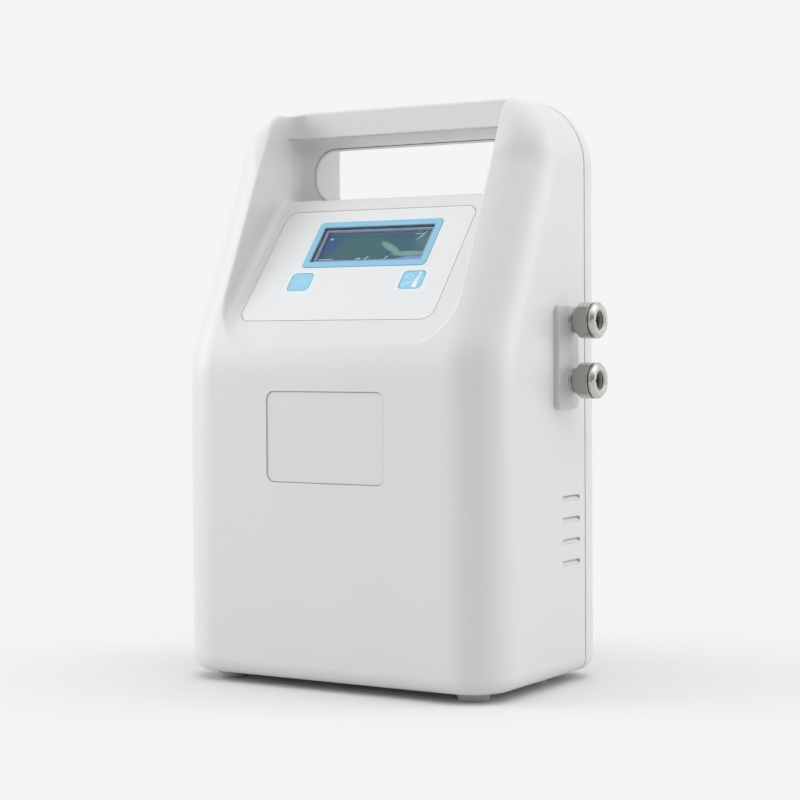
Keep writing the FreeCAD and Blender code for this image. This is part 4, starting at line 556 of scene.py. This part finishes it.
# Black print round the underside of the lens, and a foam gasket that lines the window below it.
windowLook = dict(
    printWidth=0.9, printHeight=0.02, printInset=0.05, printLift=0.01,
    printFinish=dict(colour="#14181F", shade="#1B2029", patch=3, rough=(0.5, 0.6), grain=0.4, relief=0.001),
    foamWidth=0.3, foamHeight=1.5, foamGap=0.1,
    foamFinish=dict(colour="#C6D4F2", shade="#BAC9EA", patch=2, rough=(0.7, 0.8), grain=0.3, relief=0.03))


def frameStrokes(half, width, height):
    # four strokes round a rectangle that their outer sides keep to: the level ones run its
    # whole width, the upright ones between them
    x, y = half - width / 2
    level = [np.array([[-half[0], side * y], [half[0], side * y]]) for side in (-1, 1)]
    upright = [np.array([[side * x, -y + width / 2], [side * x, y - width / 2]]) for side in (-1, 1)]
    return [(path, width, height) for path in level + upright]


lens = onPanel("display_lens")
lensHalf, lensFloor = lens.max(0)[:2], lens[:, 2].min()
printHalf = lensHalf - windowLook["printInset"] * mm
inkMarks("window_print",
         frameStrokes(printHalf, windowLook["printWidth"] * mm, windowLook["printHeight"] * mm),
         lambda flat, rise: placeOnPanel(flat, lensFloor + windowLook["printLift"] * mm + rise),
         "housing", makeFinish("blackPrint", windowLook["printFinish"]))
foamHalf = lensHalf - (windowLook["printWidth"] + windowLook["foamGap"]) * mm
foamFloor = lensFloor - (windowLook["foamGap"] + windowLook["foamHeight"]) * mm
inkMarks("window_gasket",
         frameStrokes(foamHalf, windowLook["foamWidth"] * mm, windowLook["foamHeight"] * mm),
         lambda flat, rise: placeOnPanel(flat, foamFloor + rise),
         "housing", makeFinish("gasketFoam", windowLook["foamFinish"]))
print("window print and gasket done")

# Marks on the keys, in mm from the middle of the key's top: an oval ring with a dot beside it on
# the left key, and on the right one a ring, a slanted bar and a white wedge that parts off a
# narrow bar.
inks = {
    "pale": makeFinish("paleKeyInk", dict(colour="#C4E6F6", shade="#BADFF2", patch=2, rough=(0.4, 0.5),
                                          grain=0.3, relief=0.002)),
    "white": makeFinish("whiteKeyInk", dict(colour="#EEF5F8", shade="#E6F0F5", patch=2, rough=(0.4, 0.5),
                                            grain=0.3, relief=0.002))}
keyMarks = dict(
    height=0.04,
    pieces=[
        # rings are middle, half sizes and width; bars are ends and width
        dict(name="key_left_mark", key="key_left", ink="pale", bars=[],
             rings=[((0.9, 0.2), (1.9, 1.15), 0.35), ((-2.4, 0.1), (0.3, 0.3), 0.5)]),
        dict(name="key_right_mark", key="key_right", ink="pale", bars=[([(-4.4, -3.6), (0.4, -0.9)], 0.8)],
             rings=[((-1.8, 2.0), (1.9, 1.1), 0.45)]),
        dict(name="key_right_wedge", key="key_right", ink="white", rings=[],
             bars=[([(3.0, -4.6), (3.0, 4.6)], 0.9), ([(1.6, -4.4), (2.7, 1.8)], 1.5)])])
for mark in keyMarks["pieces"]:
    height = keyMarks["height"] * mm
    lines = [(ovalPath(middle, half) * mm, width * mm, height, True)
             for middle, half, width in mark["rings"]]
    lines += [(np.array(ends) * mm, width * mm, height) for ends, width in mark["bars"]]
    inkMarks(mark["name"], lines, keyPlace(mark["key"]), mark["key"] + "_body",
             inks[mark["ink"]])
print("key marks done")

# Rocker: a ring on its lower half and a bar on its upper half, which stands proud at rest.
# lean is in degrees, the rest in mm; drop is from the pivot's height to a mark's middle, and
# points nearer to that height than clear belong to neither half.
rockerLook = dict(lean=14, clear=1.0, lift=0.01, drop=2.9, ring=1.4, bar=3.0, width=0.55, height=0.04)
rocker = pointsOf("power_rocker")
rockerMiddle = (rocker.min(0) + rocker.max(0)) / 2


def onRocker(side, look):
    # places flat points on one half: side is -1 below the pivot, where the face is upright, and
    # 1 above it, where the face leans out
    lean = math.radians(look["lean"]) * (side > 0)
    axes = np.array([[-1, 0, 0], [0, math.sin(lean), math.cos(lean)], [0, math.cos(lean), -math.sin(lean)]])
    half = rocker[(rocker[:, 2] - rockerMiddle[2]) * side > look["clear"] * mm]
    spread = (half - rockerMiddle) @ axes.T
    height = spread[:, 2].max() + look["lift"] * mm
    shift = np.array([0, side * look["drop"] * mm])
    return lambda flat, rise: rockerMiddle + np.column_stack([flat + shift, height + rise]) @ axes


inkSize = (rockerLook["width"] * mm, rockerLook["height"] * mm)
offMark = [(ovalPath((0, 0), (rockerLook["ring"] * mm,) * 2), *inkSize, True)]
inkMarks("rocker_off_mark", offMark, onRocker(-1, rockerLook), "rocker_body", inks["white"])
onMark = [(np.array([[0, -0.5], [0, 0.5]]) * rockerLook["bar"] * mm, *inkSize)]
inkMarks("rocker_on_mark", onMark, onRocker(1, rockerLook), "rocker_body", inks["white"])
print("rocker marks done")

# Filter fleece in the vents: a leaning strip in each slot, nearly flush at its lower edge and
# deeper at its upper one, where a slit stays open. The slots lie in four rows on both sides;
# sizes in mm, and wallHeights is the part of the side walls that their outside is taken from.
fleeceLook = dict(
    firstHeight=56.1, pitch=9.8, rows=4, start=11.6, end=28.4, below=1.0, above=0.6,
    shallow=0.25, deep=1.8, thickness=0.5, wallHeights=(50, 90),
    finish=dict(colour="#EEEEEE", shade="#E6E6E6", patch=2, rough=(0.8, 0.9), grain=0.25, relief=0.04))
sideWall = pointsOf("front_shell")
wallLow, wallHigh = fleeceLook["wallHeights"]
sideWall = sideWall[(sideWall[:, 2] > wallLow * mm) & (sideWall[:, 2] < wallHigh * mm)]


def makeFleece(name, face, sign, look):
    # closed strips with one profile, carried from start to end along Y; sign is 1 on the right
    # and -1 on the left, where the faces turn round
    depths = np.array([look["shallow"], look["deep"], look["deep"] + look["thickness"],
                       look["shallow"] + look["thickness"]]) * mm
    rises = np.array([-look["below"], look["above"], look["above"], -look["below"]]) * mm
    heights = (look["firstHeight"] + look["pitch"] * np.arange(look["rows"])) * mm
    height = heights[:, None, None] + np.broadcast_to(rises, (1, 2, 4))
    across = np.broadcast_to(face - sign * depths, height.shape)
    along = np.broadcast_to(np.array([[look["start"]], [look["end"]]]) * mm, height.shape)
    points = np.stack([across, along, height], -1).reshape(-1, 3)
    ring = np.arange(4)
    turn = (ring + 1) % 4
    strip = np.vstack([np.stack([ring, ring + 4, turn + 4, turn], -1), [[0, 1, 2, 3], [7, 6, 5, 4]]])
    faces = (strip[:, ::sign] + 8 * np.arange(look["rows"])[:, None, None]).reshape(-1, 4)
    return newPiece(name, points, faces, "housing", fleece)


fleece = makeFinish("filterFleece", fleeceLook["finish"])
makeFleece("vent_fleece_right", sideWall[:, 0].max(), 1, fleeceLook)
makeFleece("vent_fleece_left", sideWall[:, 0].min(), -1, fleeceLook)
print("vent fleece done")

# Camera: at the front right of the part, a little above its middle, with a long lens.
view = dict(place=(0.50624, -0.82062, 0.16055), yaw=31.8046, pitch=1.8302, roll=-0.3622, lens=93.3129)
yaw, pitch, roll = (math.radians(view[name]) for name in ("yaw", "pitch", "roll"))
ahead = Vector((-math.sin(yaw) * math.cos(pitch), math.cos(yaw) * math.cos(pitch), -math.sin(pitch)))
levelRight = Vector((math.cos(yaw), math.sin(yaw), 0))
levelUp = levelRight.cross(ahead)
right = levelRight * math.cos(roll) + levelUp * math.sin(roll)
up = levelUp * math.cos(roll) - levelRight * math.sin(roll)
camera = bpy.data.objects.new("camera", bpy.data.cameras.new("camera"))
camera.data.lens = view["lens"]
camera.data.sensor_width = 36.0
camera.matrix_world = Matrix.Translation(view["place"]) @ Matrix((right, up, -ahead)).transposed().to_4x4()
bpy.context.scene.collection.objects.link(camera)
bpy.context.scene.camera = camera

# Light: a pale room that is darker in front on the right, a wide soft lamp overhead, and two
# large soft boxes to the left in front and to the right behind, all aimed at target. A level is
# the tone that the lamp alone gives a white surface that faces it; lengths are in metres.
lights = dict(
    target=(0, 0, 0.12),
    room=dict(level=0.60, seen="#F5F5F5", darkSide=(0.52, -0.85, -0.2), darkShare=1.0,
              spread=(0.12, 1.0)),
    overhead=dict(level=0.44, place=(0.5, -0.24, 2.0), spread=75),
    boxes=[dict(name="leftBox", place=(-1.9, -1.1, 0.9), size=1.6, level=0.46),
           dict(name="rightBox", place=(1.7, 1.1, 0.8), size=1.4, level=0.28)])
target = Vector(lights["target"])


def aimAt(lamp, place):
    lamp.location = place
    lamp.rotation_euler = (target - Vector(place)).to_track_quat("-Z", "Y").to_euler()
    bpy.context.scene.collection.objects.link(lamp)


def softBox(look):
    lamp = bpy.data.objects.new(look["name"], bpy.data.lights.new(look["name"], "AREA"))
    lamp.data.size = look["size"]
    lamp.data.energy = look["level"] * (math.pi * (Vector(look["place"]) - target).length) ** 2
    aimAt(lamp, look["place"])


for look in lights["boxes"]:
    softBox(look)
overhead = bpy.data.objects.new("overheadLamp", bpy.data.lights.new("overheadLamp", "SUN"))
overhead.data.energy = lights["overhead"]["level"] * math.pi
overhead.data.angle = math.radians(lights["overhead"]["spread"])
aimAt(overhead, lights["overhead"]["place"])

world = bpy.data.worlds.new("paleRoom")
world.use_nodes = True
bpy.context.scene.world = world
room = world.node_tree
room.nodes.clear()


def seenRays(tree):
    # 1 for rays that show a backdrop: first those straight from the camera or through glass,
    # then the same with the mirrored ones
    path = addNode(tree, "ShaderNodeLightPath").outputs
    straight = addNode(tree, "ShaderNodeMath", operation="MAXIMUM",
                       links={0: path["Is Camera Ray"], 1: path["Is Transmission Ray"]}).outputs["Value"]
    shown = addNode(tree, "ShaderNodeMath", operation="MAXIMUM",
                    links={0: straight, 1: path["Is Glossy Ray"]}).outputs["Value"]
    return straight, shown


# the room's darker side: the nearer a ray runs to its direction, the less light it meets
darkSide = Vector(lights["room"]["darkSide"]).normalized()
heading = addNode(room, "ShaderNodeTexCoord").outputs["Generated"]
towards = addNode(room, "ShaderNodeVectorMath", operation="DOT_PRODUCT", links={0: heading},
                  inputs={1: darkSide}).outputs["Value"]
dim = addNode(room, "ShaderNodeMapRange", interpolation_type="SMOOTHSTEP", links={"Value": towards},
              inputs={"From Min": lights["room"]["spread"][0], "From Max": lights["room"]["spread"][1],
                      "To Min": 1.0, "To Max": 1 - lights["room"]["darkShare"]}).outputs["Result"]
level = addNode(room, "ShaderNodeMath", operation="MULTIPLY", links={0: dim},
                inputs={1: lights["room"]["level"]}).outputs["Value"]
lit = addNode(room, "ShaderNodeBackground", inputs={"Color": (1, 1, 1, 1)}, links={"Strength": level})
# the camera sees the room evenly pale, also through glass; mirror rays see its darker side
straight, shown = seenRays(room)
even = addNode(room, "ShaderNodeMath", operation="MAXIMUM", links={0: dim, 1: straight}).outputs["Value"]
seen = addNode(room, "ShaderNodeBackground", inputs={"Color": linearColour(lights["room"]["seen"])},
               links={"Strength": even})
joined = addNode(room, "ShaderNodeMixShader", links={0: shown, 1: lit.outputs["Background"],
                                                     2: seen.outputs["Background"]})
addNode(room, "ShaderNodeOutputWorld", links={"Surface": joined.outputs["Shader"]})

# Floor: a wide sheet of matt white paper that fades into the room with the distance.
floorLook = dict(half=6.0, cells=25, colour="#E2E2E2", fibresPerMetre=900.0, relief=0.03, bump=0.3,
                 rough=0.9, gloss=0.1, fadeStart=0.06, fadeEnd=0.35)


def makeFloor(look):
    material, tree, surface, place = startMaterial("mattPaper")
    fibres = addNode(tree, "ShaderNodeTexNoise", links={"Vector": place},
                     inputs={"Scale": look["fibresPerMetre"], "Detail": 2.0}).outputs["Fac"]
    bump = addNode(tree, "ShaderNodeBump", links={"Height": fibres},
                   inputs={"Strength": look["bump"], "Distance": look["relief"] * mm})
    surface.inputs["Base Color"].default_value = linearColour(look["colour"])
    surface.inputs["Roughness"].default_value = look["rough"]
    surface.inputs["Specular IOR Level"].default_value = look["gloss"]
    tree.links.new(bump.outputs["Normal"], surface.inputs["Normal"])
    far = addNode(tree, "ShaderNodeVectorMath", operation="LENGTH", links={0: place}).outputs["Value"]
    fade = addNode(tree, "ShaderNodeMapRange", interpolation_type="SMOOTHSTEP", links={"Value": far},
                   inputs={"From Min": look["fadeStart"], "From Max": look["fadeEnd"]}).outputs["Result"]
    share = addNode(tree, "ShaderNodeMath", operation="MULTIPLY", links={0: fade, 1: seenRays(tree)[1]})
    glow = addNode(tree, "ShaderNodeEmission",
                   inputs={"Color": linearColour(lights["room"]["seen"]), "Strength": 1.0})
    both = addNode(tree, "ShaderNodeMixShader", links={0: share.outputs["Value"],
                                                       1: surface.outputs["BSDF"],
                                                       2: glow.outputs["Emission"]})
    output = next(node for node in tree.nodes if node.type == "OUTPUT_MATERIAL")
    tree.links.new(both.outputs["Shader"], output.inputs["Surface"])
    return material


line = np.linspace(-floorLook["half"], floorLook["half"], floorLook["cells"])
sheet = np.stack(np.meshgrid(line, line), -1).reshape(-1, 2)
floorMesh = bpy.data.meshes.new("floor")
floorMesh.from_pydata(np.column_stack([sheet, np.zeros(len(sheet))]).tolist(), [],
                      gridFaces(len(line), len(line)).tolist())
floorMesh.materials.append(makeFloor(floorLook))
floor = bpy.data.objects.new("floor", floorMesh)
bpy.context.scene.collection.objects.link(floor)

settings = bpy.context.scene.view_settings
settings.view_transform = "Standard"
print("camera, light and floor done")
